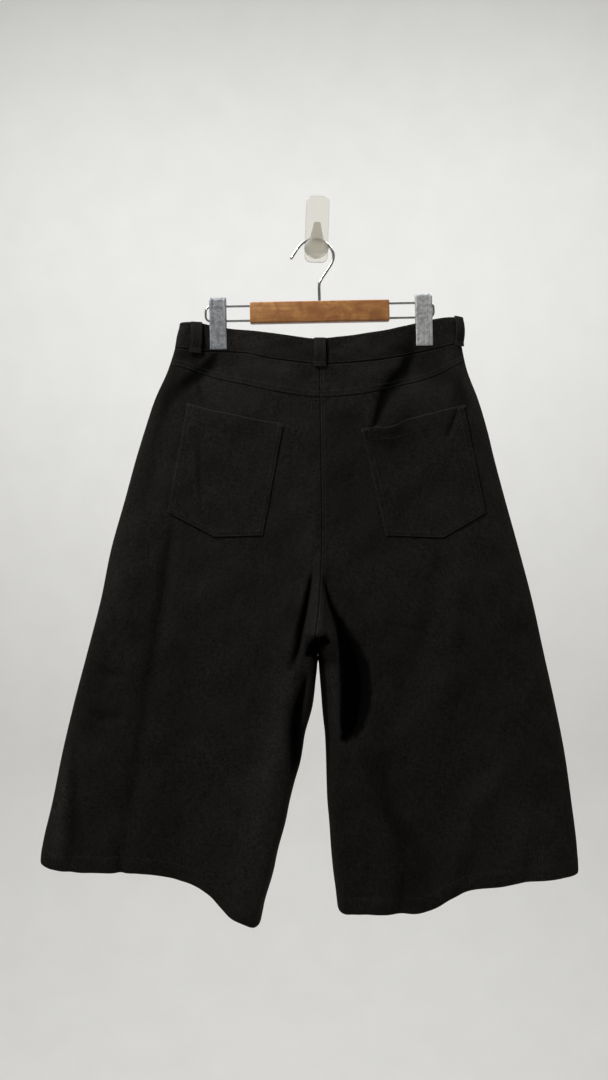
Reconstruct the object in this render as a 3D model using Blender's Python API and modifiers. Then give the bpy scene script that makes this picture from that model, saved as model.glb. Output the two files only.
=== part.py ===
"""Wide culottes hung by their waistband from a clip hanger on an adhesive wall hook, back outwards.

Run with: blender --background --python part.py

The wall is the plane y = 0 and the origin is the middle of the hook's plate on it. The back of the
culottes faces -Y, +Z is up, and "left" is the side at -X, which is the wearer's left.
Lengths in the tables and constants are millimetres; MM turns them into Blender's metres.
"""
import math

import bmesh
import bpy
import numpy as np
from mathutils import Matrix, Vector

MM = 0.001

# ---- Cloth -----------------------------------------------------------------------------------
CLOTH = 1.6              # heavy twill, one layer
HEM_CLOTH = 2.4          # turned up and sewn
BAND_CLOTH = 2.2         # waistband, folded double
PATCH_CLOTH = 1.2        # pockets and fly
LOOP_CLOTH = 1.6         # belt loops
SEAM = 0.3               # space between pieces that are sewn together
LIFT = 0.3               # space under a piece that lies on another
HEM_DEPTH = 20.0

# Level sections: height, the two side folds, the plane of the side seams, how far the back and the
# front stand off that plane, and how wide the rounding beside a fold is.
SECTIONS = [
    # z,    left,   right,  mid,  back, front, round
    (-125, -184.5, 191.0, -22.0, 9.0, 7.0, 26),
    (-165, -192.0, 196.0, -22.0, 11.0, 8.0, 30),
    (-200, -202.6, 203.4, -22.5, 14.0, 10.0, 36),
    (-240, -220.0, 218.2, -24.0, 17.0, 12.0, 44),
    (-280, -233.0, 229.9, -25.5, 19.0, 14.0, 50),
    (-320, -245.0, 239.4, -26.5, 20.0, 16.0, 54),
    (-375, -259.7, 253.7, -28.0, 21.0, 18.0, 58),
    (-445, -278.6, 272.4, -31.0, 22.0, 20.0, 62),
    (-510, -291.3, 289.0, -33.0, 24.0, 22.0, 66),
    (-580, -309.0, 304.1, -34.0, 26.0, 23.0, 70),
    (-647, -326.4, 318.7, -35.0, 27.0, 24.0, 74),
    (-715, -342.3, 331.9, -36.0, 28.0, 25.0, 78),
    (-782, -355.8, 341.4, -36.0, 28.0, 26.0, 82),
    (-850, -370.7, 349.4, -36.0, 29.0, 27.0, 86),
    (-880, -373.0, 350.8, -36.0, 29.0, 27.0, 88),
]

# Lines across the back of the waist: top edge, waistband seam and yoke seam.
WAIST = [
    # x,    top,    seam,   yoke
    (-193, -135.8, -169.7, -195.0),
    (-162, -135.2, -174.0, -204.5),
    (-136, -140.6, -174.6, -213.0),
    (-102, -145.3, -176.6, -220.5),
    (-62, -150.8, -186.0, -230.5),
    (-31, -155.2, -190.2, -235.7),
    (2, -158.6, -193.4, -239.0),
    (33, -155.4, -192.4, -237.8),
    (58, -152.1, -190.6, -235.0),
    (94, -146.3, -186.0, -227.6),
    (114, -140.6, -181.6, -222.8),
    (145, -133.4, -174.4, -214.6),
    (169, -128.6, -169.0, -205.0),
    (197, -128.4, -163.0, -189.6),
]
FRONT_DIP = 8.0          # how much lower the front of the waist hangs at its middle
FRONT_DIP_REACH = 195.0

# The rise: where the middle seam runs, down to the crotch point.
RISE = [
    # z,    x
    (-160, 2.3),
    (-243, 3.5),
    (-337, 4.7),
    (-458, 5.3),
    (-500, 3.8),
    (-530, 1.0),
    (-556, -2.4),
    (-590, 1.2),
]
CROTCH_Z = -590.0
CROTCH_ROUND = 36.0      # width of the rounding beside the inner leg
CROTCH_RISE = 42.0       # height over which the saddle turns under to the crotch point

# The two inner legs below the crotch point.
INNER_LEGS = [
    # z,    left,  right
    (-590, 1.2, 1.2),
    (-595, -1.8, 4.2),
    (-605, -2.9, 5.2),
    (-620, -4.0, 5.8),
    (-640, -5.2, 6.6),
    (-656, -7.0, 7.4),
    (-673, -12.0, 8.8),
    (-690, -17.0, 10.8),
    (-713, -20.6, 12.0),
    (-728, -23.2, 12.5),
    (-755, -31.0, 13.2),
    (-782, -37.8, 14.2),
    (-809, -43.2, 16.6),
    (-849, -54.0, 19.4),
    (-876, -59.6, 22.0),
    (-917, -71.6, 27.6),
    (-955, -79.6, 31.0),
]

HEM = {
    "left": [
        # x,    z
        (-374, -864.5),
        (-358, -868.4),
        (-288, -869.6),
        (-221, -872.9),
        (-182, -881.5),
        (-155, -890.0),
        (-141, -900.0),
        (-128, -914.0),
        (-115, -925.6),
        (-101, -932.6),
        (-88, -939.4),
        (-78, -944.0),
    ],
    "right": [
        # x,    z
        (28, -925.6),
        (68, -924.4),
        (95, -925.8),
        (122, -927.0),
        (149, -918.3),
        (174, -902.5),
        (200, -893.0),
        (240, -887.9),
        (294, -882.2),
        (337, -879.3),
        (352, -877.6),
    ],
}

# Folds: paths down the cloth, with the half width and how deep the cloth is pressed in there.
# A depth below nothing is a ridge.
BACK_FOLDS = {
    "saddle": [
        # x,   z,   width, depth
        (5, -446, 8, 0),
        (4, -490, 10, -7),
        (1, -522, 14, -14),
        (-1, -550, 18, -18),
        (0, -574, 18, -8),
    ],
    "saddle_left": [
        (-7, -471, 6, 0),
        (-15, -504, 7, 9),
        (-22, -537, 8, 15),
        (-26, -571, 9, 12),
        (-35, -600, 8, 0),
    ],
    "saddle_right": [
        (8, -470, 8, 0),
        (15, -508, 10, 10),
        (26, -542, 12, 18),
        (38, -572, 14, 24),
        (48, -600, 16, 28),
        (52, -628, 18, 30),
        (51, -656, 17, 27),
        (47, -684, 14, 18),
        (45, -712, 10, 0),
    ],
    "inner_left": [
        (-14, -601, 6, 0),
        (-25, -640, 9, 15),
        (-31, -681, 9, 16),
        (-36, -723, 8, 9),
        (-43, -766, 7, 0),
    ],
    "left_leg_ridge": [
        (-30, -482, 16, 0),
        (-46, -634, 18, -7),
        (-70, -770, 20, -9),
        (-98, -905, 22, -11),
        (-106, -943, 22, -12),
    ],
    "left_thigh": [
        (-205, -431, 11, 0),
        (-222, -543, 12, 5),
        (-233, -652, 12, 5),
        (-238, -737, 12, 0),
    ],
    "left_corner": [
        (-318, -715, 10, 0),
        (-318, -787, 11, 7),
        (-334, -838, 11, 6),
        (-343, -867, 11, 4),
    ],
    "left_middle": [
        (-161, -458, 22, 0),
        (-169, -617, 24, 4),
        (-180, -763, 24, 5),
        (-188, -880, 24, 5),
    ],
    "right_valley": [
        (51, -703, 10, 0),
        (75, -737, 12, 6),
        (97, -783, 13, 9),
        (118, -830, 14, 10),
        (120, -883, 15, 12),
        (113, -928, 16, 13),
    ],
    "right_thigh": [
        (157, -491, 11, 0),
        (136, -577, 12, 5),
        (110, -652, 12, 5),
        (94, -703, 12, 0),
    ],
    "right_thigh_ridge": [
        (183, -431, 20, 0),
        (173, -537, 22, -4),
        (163, -644, 22, -5),
        (152, -737, 22, 0),
    ],
    "right_diagonal": [
        (274, -697, 16, 0),
        (213, -776, 18, -5),
        (184, -850, 18, -8),
        (168, -908, 18, -8),
    ],
    "right_corner": [
        (306, -737, 14, 0),
        (293, -830, 15, 5),
        (274, -888, 16, 6),
    ],
    "left_clip": [
        (-124, -180, 8, 3),
        (-148, -203, 8, 7),
        (-172, -240, 9, 6),
        (-183, -285, 10, 4),
        (-185, -328, 10, 0),
    ],
    "right_clip": [
        (125, -179, 8, 3),
        (109, -200, 8, 6),
        (92, -226, 9, 5),
        (80, -248, 10, 4),
        (72, -282, 10, 0),
    ],
    "left_pocket": [
        (-152, -293, 9, 0),
        (-155, -351, 10, 2.5),
        (-153, -410, 10, 0),
    ],
}
FRONT_FOLDS = {
    "left_clip": [
        (-126, -182, 9, 2),
        (-110, -215, 10, 4),
        (-92, -270, 12, 0),
    ],
    "right_clip": [
        (138, -178, 9, 2),
        (122, -212, 10, 4),
        (104, -268, 12, 0),
    ],
    "crotch_left": [
        (-14, -500, 12, 0),
        (-30, -560, 14, 8),
        (-44, -640, 14, 7),
        (-58, -720, 14, 0),
    ],
    "crotch_right": [
        (20, -490, 12, 0),
        (36, -560, 14, 8),
        (46, -650, 14, 7),
        (58, -730, 14, 0),
    ],
    "left_leg": [
        (-180, -560, 22, 0),
        (-196, -700, 24, 6),
        (-214, -870, 26, 8),
    ],
    "right_leg": [
        (170, -540, 22, 0),
        (196, -700, 24, 6),
        (206, -885, 26, 8),
    ],
}

# How many cells each piece has, and how they crowd: above one, towards that end of a row.
COLUMNS = {"back": 24, "front": 15}
SIDE_CROWDING = 1.35
MIDDLE_CROWDING = 1.6
YOKE_ROWS = 3
HIP_ROWS = {"back": 17, "front": 10}
HIP_CROWDING = 1.55      # towards the crotch
LEG_ROWS = {"back": 16, "front": 10}
LEG_CROWDING = 1.7       # towards the crotch
BAND_ROWS = 3
LAP_COLUMNS = 4

# ---- Pieces sewn on the cloth ------------------------------------------------------------------
POCKETS = {
    "left": [
        # x,    z
        (-174.3, -246.7),
        (-44.7, -276.1),
        (-72.0, -426.2),
        (-137.3, -428.4),
        (-200.5, -395.0),
    ],
    "right": [
        (58.8, -282.1),
        (197.1, -249.4),
        (226.1, -395.0),
        (167.3, -429.5),
        (90.9, -426.2),
    ],
}
FLY_WIDTH = 38.0
FLY_LENGTH = 170.0
LAP = 38.0               # how far the waistband's ends lap at the front
LAP_TURN = 14.0          # length over which the outer end steps over the inner one
BUTTON_RADIUS = 8.5
BUTTON_THICKNESS = 3.0
BUTTON_STAND = 0.7       # space under the button, on its sewn shank
BUTTON_ROUND = 0.7
FLY_INSET = 1.0          # from the seams beside and above it
CUT_MARGIN = 20.0        # how far a cutter runs past the cloth, before and behind
LOOP_WIDTH = 15.5
LOOP_TOP_REACH = 0.5     # how far a loop runs past the top of the waistband
LOOP_REACH = 4.0         # and past its seam
LOOP_STAND = 3.2         # how far its middle stands off
LOOP_END_STAND = 0.8     # more room where its foot lies on the piece below the waistband
LOOP_ROWS = 6
LOOP_COLUMNS = 4
FINE_COLUMNS = 120       # columns of the waistband that a loop's place is measured on
# Distance of each loop's middle along the waistband, from the middle of the back.
LOOPS = {
    "belt_loop_back": 1.0,
    "belt_loop_side_left": -164.0,
    "belt_loop_side_right": 189.0,
    "belt_loop_front_left": -292.0,
    "belt_loop_front_right": 296.0,
}

# ---- Hanger ------------------------------------------------------------------------------------
# It is laid out level, from the top of its hook's bend, and then leans.
HOOK_TOP = (-1.6, -22.0, -20.4)
HANGER_LEAN = math.radians(1.1)
BAR_CENTRE = (3.0, -99.9)
BAR_SIZE = (190.0, 12.0, 29.0)
BAR_ROUND = 1.6
RAIL_REACH = 155.5
RAIL_SPACING = 19.9
RAIL_RADIUS = 1.5
RAIL_BEND = 7.0
HOOK_WIRE_RADIUS = 1.95
HOOK_ROUTE = [
    # x,    z
    (3.0, -76.0),
    (3.1, -62.5),
    (6.0, -55.5),
    (14.7, -42.7),
    (20.6, -33.6),
    (23.4, -24.5),
    (21.6, -16.0),
    (16.4, -8.6),
    (8.8, -2.4),
    (0.0, 0.0),
    (-10.0, -1.6),
    (-19.6, -6.4),
    (-26.6, -14.4),
    (-35.2, -27.3),
]
CLIP_PLACES = {"left": -138.7, "right": 141.9}    # from the middle of the bar
CLIP_WIDTH = 22.8
CLIP_TOP = -82.3
CLIP_BOTTOM = -148.8
CLIP_PLATE = 1.2
CLIP_ROUND = 0.35
SPRING_ROUND = 1.2
SPRING_WIDTH = 18.0
PINCH_HALF = BAND_CLOTH / 2 + SEAM / 2            # from the pinch plane to each layer's middle
PINCH_FLAT = 20.0        # half width held flat in the jaws
PINCH_FADE = 22.0        # how far beside the jaws the cloth is still drawn together
PINCH_FADE_DOWN = 42.0   # and how far below them

# ---- Wall hook ---------------------------------------------------------------------------------
WALL_HOOK_LEAN = math.radians(-2.0)
PLATE_SIZE = (32.2, 2.6, 92.4)
PLATE_ROUND = 9.0
# The arm's side view, from where it leaves the plate, and its half width at each height in front.
ARM_SIDE = [
    # y,    z
    (-2.9, 12.0),
    (-6.4, -8.0),
    (-8.6, -18.0),
    (-11.6, -24.6),
    (-16.0, -27.2),
    (-29.0, -27.2),
    (-29.0, -44.0),
    (-20.0, -44.0),
    (-10.0, -40.5),
    (-2.9, -36.0),
]
ARM_REACH = 25.0         # half the length that the side view is drawn out to, before it is cut
ARM_FRONT_DEPTHS = (-60.0, 5.0)
ARM_FRONT = [
    # half width, z
    (3.6, 13.0),
    (5.6, 4.0),
    (9.0, -12.0),
    (10.8, -24.0),
    (10.8, -46.0),
]
KNOB_CENTRE = (0.0, -30.0, -35.5)
KNOB_HALF = (16.6, 3.6, 15.0)
ROUND_STEP = 15          # degrees between the points of a rounded corner

# ---- Finishes: linear colour, roughness, metallic ------------------------------------------------
CLOTH_LOOK = (0.012, 0.011, 0.010, 1.0), 0.85, 0.0
BUTTON_LOOK = (0.015, 0.014, 0.013, 1.0), 0.4, 0.0
WOOD_LOOK = (0.32, 0.13, 0.045, 1.0), 0.5, 0.0
STEEL_LOOK = (0.55, 0.55, 0.54, 1.0), 0.3, 1.0
ZINC_LOOK = (0.38, 0.38, 0.37, 1.0), 0.5, 1.0
PLASTIC_LOOK = (0.80, 0.79, 0.74, 1.0), 0.2, 0.0


def curve(points):
    """A smooth function through (position, value) points, held level past both ends."""
    at, value = (np.array(column, float) for column in zip(*sorted(points)))
    slope = np.gradient(value, at)

    def read(position):
        position = np.clip(position, at[0], at[-1])
        first = np.clip(np.searchsorted(at, position) - 1, 0, len(at) - 2)
        step = at[first + 1] - at[first]
        f = (position - at[first]) / step
        return (value[first] * (1 + 2 * f) * (1 - f) ** 2
                + slope[first] * step * f * (1 - f) ** 2
                + value[first + 1] * f * f * (3 - 2 * f)
                - slope[first + 1] * step * f * f * (1 - f))
    return read


def column(table, number, key=0):
    return curve([(row[key], row[number]) for row in table])


SIDE = {"left": column(SECTIONS, 1), "right": column(SECTIONS, 2)}
MID, BACK, FRONT, ROUND = (column(SECTIONS, number) for number in (3, 4, 5, 6))
MIDDLE = column(RISE, 1)
INNER = {"left": column(INNER_LEGS, 1), "right": column(INNER_LEGS, 2)}
TOP, BAND_SEAM, YOKE_SEAM = (column(WAIST, number) for number in (1, 2, 3))
HEM_LINE = {half: column(HEM[half], 1) for half in HEM}
CROTCH_X = float(MIDDLE(CROTCH_Z))
SIGN = {"back": -1.0, "front": 1.0}
OUT = {"left": -1.0, "right": 1.0}


def leaned(x, z):
    """A point of the level hanger where it lies once the hanger leans."""
    cos, sin = math.cos(HANGER_LEAN), math.sin(HANGER_LEAN)
    return HOOK_TOP[0] + x * cos - z * sin, HOOK_TOP[2] + x * sin + z * cos


# Middle and lower edge of each pair of jaws
JAWS = {side: leaned(BAR_CENTRE[0] + place, CLIP_BOTTOM) for side, place in CLIP_PLACES.items()}


def dip(face, x):
    """How far the front hangs lower than the back at x."""
    if face == "back":
        return 0.0 * x
    across = np.clip(1 - ((x - CROTCH_X) / FRONT_DIP_REACH) ** 2, 0, 1)
    return FRONT_DIP * across ** 2


def inner_edge(half, z):
    """The piece's edge at the middle: the rise above the crotch point, the inner leg below."""
    return np.where(z >= CROTCH_Z, MIDDLE(z), INNER[half](z))


def swell(q):
    """A rounded edge: nothing at q = 0, rising steeply, level from q = 1."""
    return np.sqrt(np.clip(1 - (1 - np.clip(q, 0, 1)) ** 2.2, 0, 1))


def press(folds, x, z):
    """How deep the folds press the cloth in at each point."""
    total = np.zeros_like(x)
    for path in folds.values():
        nearest = np.full_like(x, np.inf)
        depth = np.zeros_like(x)
        for start, end in zip(path, path[1:]):
            run, rise = end[0] - start[0], end[1] - start[1]
            f = np.clip(((x - start[0]) * run + (z - start[1]) * rise) / (run ** 2 + rise ** 2), 0, 1)
            away = np.hypot(x - start[0] - f * run, z - start[1] - f * rise)
            width = start[2] + f * (end[2] - start[2])
            here = (start[3] + f * (end[3] - start[3])) * np.exp(-(away / width) ** 2)
            depth = np.where(away < nearest, here, depth)
            nearest = np.minimum(away, nearest)
        total += depth
    return total


def depth(face, half, x, z):
    """The y of the middle of the cloth on one face, on one leg below the crotch point."""
    from_side = np.minimum(x - SIDE["left"](z), SIDE["right"](z) - x) / ROUND(z)
    above = z >= CROTCH_Z
    across = np.where(above, np.abs(x - CROTCH_X), OUT[half] * (x - INNER[half](z)))
    up = np.where(above, z - CROTCH_Z, 0.0)
    from_middle = np.where(across < 0, 0, np.hypot(across / CROTCH_ROUND, up / CROTCH_RISE))
    stand = (BACK if face == "back" else FRONT)(z)
    free = SIGN[face] * stand * swell(from_side) * swell(from_middle)
    fade = np.clip(np.minimum(from_side, from_middle) / 0.45, 0, 1)
    folds = BACK_FOLDS if face == "back" else FRONT_FOLDS
    free = free - SIGN[face] * press(folds, x, z) * fade * fade * (3 - 2 * fade)
    for jaw_x, jaw_z in JAWS.values():
        beside = np.clip(np.abs(x - jaw_x) - PINCH_FLAT, 0, None) / PINCH_FADE
        below = np.clip(jaw_z - 3 - z, 0, None) / PINCH_FADE_DOWN
        held = np.exp(-beside ** 2 - below ** 2)
        free = free + held * (SIGN[face] * PINCH_HALF - free)
    return MID(z) + free


def fractions(count, start_crowding, end_crowding):
    """Steps from 0 to 1 that crowd towards their two ends."""
    s = np.linspace(0, 1, count + 1)
    return s ** start_crowding / (s ** start_crowding + (1 - s) ** end_crowding)


def level_line(name, face, half):
    """One of the lines that run across a piece, as a function of x."""
    waist = {"top": TOP, "band": BAND_SEAM, "yoke": YOKE_SEAM}
    if name in waist:
        return lambda x: waist[name](x) - dip(face, x)
    if name == "crotch":
        return lambda x: np.full_like(x, CROTCH_Z)
    if name == "hem_fold":
        return lambda x: HEM_LINE[half](x) + HEM_DEPTH
    return HEM_LINE[half]


def lines(face, half, stretches):
    """The heights of a piece's rows, each a function of x, from its top edge down.

    A stretch is the line where it starts, the line where it ends and the steps between them.
    """
    def between(upper, lower, f):
        return lambda x: upper(x) * (1 - f) + lower(x) * f

    result = []
    for upper_name, lower_name, steps in stretches:
        upper = level_line(upper_name, face, half)
        lower = level_line(lower_name, face, half)
        new_steps = steps[1:] if result else steps
        result += [between(upper, lower, f) for f in new_steps]
    return result


def skin(face, half, rows, steps):
    """Points of the middle of the cloth and their outward directions, a row for each line."""
    xs, zs = [], []
    for line in rows:
        z = line(np.full_like(steps, OUT[half] * 100.0))
        for _ in range(25):
            side = SIDE[half](z)
            x = side + steps * (inner_edge(half, z) - side)
            z = line(x)
        xs.append(x)
        zs.append(z)
    x, z = np.array(xs), np.array(zs)
    y = depth(face, half, x, z)
    step = 0.4
    slope_x = (depth(face, half, x + step, z) - depth(face, half, x - step, z)) / (2 * step)
    slope_z = (depth(face, half, x, z + step) - depth(face, half, x, z - step)) / (2 * step)
    sign = SIGN[face]
    normal = np.stack([-sign * slope_x, np.full_like(x, sign), -sign * slope_z], axis=-1)
    side_slope = (SIDE[half](z + 1) - SIDE[half](z - 1)) / 2
    inner_slope = (INNER[half](z + 1) - INNER[half](z - 1)) / 2
    zero = np.zeros_like(x)
    side_normal = np.stack([zero + OUT[half], zero, -OUT[half] * side_slope], axis=-1)
    inner_normal = np.stack([zero - OUT[half], zero, OUT[half] * inner_slope], axis=-1)
    normal[:, steps <= 0] = side_normal[:, steps <= 0]
    at_inner = (steps >= 1)[None, :] & (z < CROTCH_Z - 0.5)
    normal[at_inner] = inner_normal[at_inner]
    at_crotch = (steps >= 1)[None, :] & (np.abs(z - CROTCH_Z) <= 0.5)
    normal[at_crotch] = (0, 0, -1)
    normal /= np.linalg.norm(normal, axis=-1, keepdims=True)
    return np.stack([x, y, z], axis=-1), normal


def trimmed(points, face, half, top=True, bottom=True):
    """The same points with half a seam's space left along each sewn edge."""
    points = points.copy()
    sign = SIGN[face]
    half_seam = SEAM / 2
    crotch = points[:, -1, 2] <= CROTCH_Z + 0.5
    rise = points[:, -1, 2] >= CROTCH_Z - 0.5
    points[:, 0, 1] += sign * half_seam
    points[crotch, -1, 1] += sign * half_seam
    points[rise, -1, 0] += OUT[half] * half_seam
    if top:
        points[0, :, 2] -= half_seam
    if bottom:
        points[-1, :, 2] += half_seam
    return points


def finish(name, look):
    """A material for one piece."""
    colour, roughness, metallic = look
    material = bpy.data.materials.new(name)
    material.use_nodes = True
    shader = material.node_tree.nodes["Principled BSDF"]
    shader.inputs["Base Color"].default_value = colour
    shader.inputs["Roughness"].default_value = roughness
    shader.inputs["Metallic"].default_value = metallic
    return material


def to_object(name, data, look, collection, parent=None):
    """One piece of the object, from its mesh or curve."""
    data.name = name
    data.materials.append(finish(name, look))
    thing = bpy.data.objects.new(name, data)
    thing.parent = parent
    collection.objects.link(thing)
    return thing


def to_cutter(name, mesh, cutters, parent=None):
    """A guide that cuts or joins a piece and isn't part of the object."""
    guide = bpy.data.objects.new(name, mesh)
    guide.parent = parent
    guide.hide_render = True
    guide.display_type = "WIRE"
    cutters.objects.link(guide)
    return guide


def to_mesh(name, bm):
    mesh = bpy.data.meshes.new(name)
    bm.to_mesh(mesh)
    bm.free()
    return mesh


def wall(name, outer, inner, collection):
    """A cloth wall lofted between an outer and an inner sheet of points, closed round its edge."""
    rows, columns = outer.shape[:2]
    bm = bmesh.new()
    sheets = [[[bm.verts.new(Vector(point) * MM) for point in row] for row in sheet]
              for sheet in (outer, inner)]
    for sheet in sheets:
        for i in range(rows - 1):
            for j in range(columns - 1):
                bm.faces.new((sheet[i][j], sheet[i][j + 1], sheet[i + 1][j + 1], sheet[i + 1][j]))
    rim = ([(0, j) for j in range(columns)] + [(i, columns - 1) for i in range(1, rows)]
           + [(rows - 1, j) for j in range(columns - 2, -1, -1)]
           + [(i, 0) for i in range(rows - 2, 0, -1)])
    for (i, j), (k, m) in zip(rim, rim[1:] + rim[:1]):
        bm.faces.new((sheets[0][i][j], sheets[0][k][m], sheets[1][k][m], sheets[1][i][j]))
    bmesh.ops.triangulate(bm, faces=bm.faces)
    bmesh.ops.recalc_face_normals(bm, faces=bm.faces)
    mesh = to_mesh(name, bm)
    mesh.shade_smooth()
    mesh.set_sharp_from_angle(angle=math.radians(75))
    return to_object(name, mesh, CLOTH_LOOK, collection)


def panel(name, face, half, stretches, collection, bottom_is_hem=True):
    """One cut piece of cloth; returns its trimmed points and directions."""
    steps = fractions(COLUMNS[face], SIDE_CROWDING, MIDDLE_CROWDING)
    points, normal = skin(face, half, lines(face, half, stretches), steps)
    points = trimmed(points, face, half, bottom=not bottom_is_hem)
    thickness = np.full(points.shape[:2] + (1,), CLOTH)
    if bottom_is_hem:
        thickness[-2:] = HEM_CLOTH
    wall(name, points + normal * thickness / 2, points - normal * thickness / 2, collection)
    return points, normal


def prism(name, outline, y_near, y_far):
    """A mesh with an outline seen along Y, drawn out between two depths."""
    bm = bmesh.new()
    face = bm.faces.new([bm.verts.new((x * MM, y_near * MM, z * MM)) for x, z in outline])
    drawn = bmesh.ops.extrude_face_region(bm, geom=[face])
    moved = [item for item in drawn["geom"] if isinstance(item, bmesh.types.BMVert)]
    bmesh.ops.translate(bm, verts=moved, vec=(0, (y_far - y_near) * MM, 0))
    bmesh.ops.recalc_face_normals(bm, faces=bm.faces)
    return to_mesh(name, bm)


def keep_inside(thing, cutter):
    cut = thing.modifiers.new("Outline", "BOOLEAN")
    cut.operation = "INTERSECT"
    cut.solver = "EXACT"
    cut.object = cutter


def patch(name, panel_skin, outline, collection, cutters):
    """A piece sewn flat on a panel: the panel's own points moved out, cut to the piece's outline."""
    points, normal = panel_skin
    xs, zs = zip(*outline)
    near = ((points[..., 0] > min(xs)) & (points[..., 0] < max(xs))
            & (points[..., 2] > min(zs)) & (points[..., 2] < max(zs)))
    rows, columns = np.where(near)
    rows = slice(max(rows.min() - 1, 0), rows.max() + 2)
    columns = slice(max(columns.min() - 1, 0), columns.max() + 2)
    inner = CLOTH / 2 + LIFT
    points, normal = points[rows, columns], normal[rows, columns]
    piece = wall(name, points + normal * (inner + PATCH_CLOTH), points + normal * inner, collection)
    cut = prism(name, outline, points[..., 1].min() - CUT_MARGIN, points[..., 1].max() + CUT_MARGIN)
    keep_inside(piece, to_cutter(name + "_outline", cut, cutters))


def band_line(v):
    """A line round the waistband, v from its top edge to its seam, as a function of x."""
    return lambda face: lambda x: TOP(x) * (1 - v) + BAND_SEAM(x) * v - dip(face, x)


def band_ring(rows, steps):
    """The waistband's points and directions, from the front middle round by the left side.

    steps run from a side fold to the middle.
    """
    points, normals = [], []
    for v in rows:
        row_points, row_normals = [], []
        for face, half, forward in (("front", "left", False), ("back", "left", True),
                                    ("back", "right", False), ("front", "right", True)):
            part, normal = skin(face, half, [band_line(v)(face)], steps[face])
            part, normal = part[0], normal[0]
            if not forward:
                part, normal = part[::-1], normal[::-1]
            joins_last = 1 if row_points else 0
            row_points.extend(part[joins_last:])
            row_normals.extend(normal[joins_last:])
        points.append(row_points)
        normals.append(row_normals)
    return np.array(points), np.array(normals)


def waistband(collection):
    """The folded band: one strip round the waist whose end laps over its start at the front.

    Returns the middle of the lapped end, where the button is sewn on.
    """
    steps = {face: fractions(COLUMNS[face], SIDE_CROWDING, MIDDLE_CROWDING) for face in COLUMNS}
    rows = np.linspace(0, 1, BAND_ROWS + 1)
    points, normal = band_ring(rows, steps)
    lap_points, lap_normal = [], []
    for i, v in enumerate(rows):
        x = points[i, -1, 0] - np.linspace(LAP / LAP_COLUMNS, LAP, LAP_COLUMNS)
        z = band_line(v)("front")(x)
        lap_points.append(np.stack([x, depth("front", "left", x, z), z], axis=-1))
        lap_normal.append(np.tile((0.0, 1.0, 0.0), (LAP_COLUMNS, 1)))
    middle = points.shape[1] - 1
    points = np.concatenate([points, lap_points], axis=1)
    normal = np.concatenate([normal, lap_normal], axis=1)
    # The outer end steps over the inner one.
    outer_end = slice(middle - COLUMNS["front"] + 1, None)
    to_middle = points[:, outer_end, 0] - points[:, middle, 0][:, None]
    rise = np.clip(1 - (to_middle - 1) / LAP_TURN, 0, 1)
    points[:, outer_end, 1] += (BAND_CLOTH + LIFT) * rise * rise * (3 - 2 * rise)
    points[:, 0, 0] -= SEAM
    points[-1, :, 2] += SEAM / 2
    wall("waistband", points + normal * BAND_CLOTH / 2, points - normal * BAND_CLOTH / 2, collection)
    return points[:, middle + LAP_COLUMNS // 2].mean(axis=0)


def across_band(rows, along, places):
    """Vectors of each row of the waistband, read at these distances along it."""
    return np.stack([[np.interp(places, along, row[:, axis]) for axis in range(3)]
                     for row in rows]).transpose(0, 2, 1)


def belt_loops(collection):
    """Narrow strips that stand off the waistband between their sewn ends."""
    fine = {face: fractions(FINE_COLUMNS, SIDE_CROWDING, MIDDLE_CROWDING) for face in COLUMNS}
    heights = np.linspace(0, 1, LOOP_ROWS + 1)
    points, normal = band_ring(heights, fine)
    middle = points[len(heights) // 2]
    along = np.concatenate([[0], np.cumsum(np.linalg.norm(np.diff(middle, axis=0), axis=1))])
    back_middle = along[2 * FINE_COLUMNS]
    stand = BAND_CLOTH / 2 + LIFT + LOOP_CLOTH / 2 + LOOP_STAND * np.sin(math.pi * heights) ** 0.6
    for name, place in LOOPS.items():
        places = back_middle + place + np.linspace(-LOOP_WIDTH / 2, LOOP_WIDTH / 2, LOOP_COLUMNS + 1)
        out = across_band(normal, along, places)
        out[:] = out.mean(axis=0)
        out /= np.linalg.norm(out, axis=-1, keepdims=True)
        strip = across_band(points, along, places) + out * stand[:, None, None]
        strip[-1] += out[-1] * LOOP_END_STAND
        strip[-1, :, 2] -= LOOP_REACH
        strip[0, :, 2] += LOOP_TOP_REACH
        wall(name, strip + out * LOOP_CLOTH / 2, strip - out * LOOP_CLOTH / 2, collection)


def culottes(collection, cutters):
    """The cut and sewn pieces."""
    even = np.linspace(0, 1, YOKE_ROWS + 1)

    def hip(face):
        return 1 - np.linspace(1, 0, HIP_ROWS[face] + 1) ** HIP_CROWDING

    def leg(face):
        return np.linspace(0, 1, LEG_ROWS[face] + 1) ** LEG_CROWDING

    hem = np.array([0.0, 1.0])
    upper = ("band", "yoke", even)
    for half in ("left", "right"):
        panel("yoke_" + half, "back", half, [upper], collection, bottom_is_hem=False)
        below = {face: [("yoke", "crotch", hip(face)), ("crotch", "hem_fold", leg(face)),
                        ("hem_fold", "hem", hem)] for face in COLUMNS}
        back = panel("back_leg_" + half, "back", half, below["back"], collection)
        front = panel("front_leg_" + half, "front", half, [upper] + below["front"], collection)
        patch("pocket_" + half, back, POCKETS[half], collection, cutters)
    patch("fly", front, fly_outline(), collection, cutters)
    button = waistband(collection)
    belt_loops(collection)
    waist_button(button, collection)


def arc(centre, radius, start, end):
    """Points round part of a circle, angles in degrees from +X."""
    steps = abs(end - start) // ROUND_STEP
    angles = [math.radians(start + (end - start) * step / steps) for step in range(steps + 1)]
    return [(centre[0] + radius * math.cos(angle), centre[1] + radius * math.sin(angle))
            for angle in angles]


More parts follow.
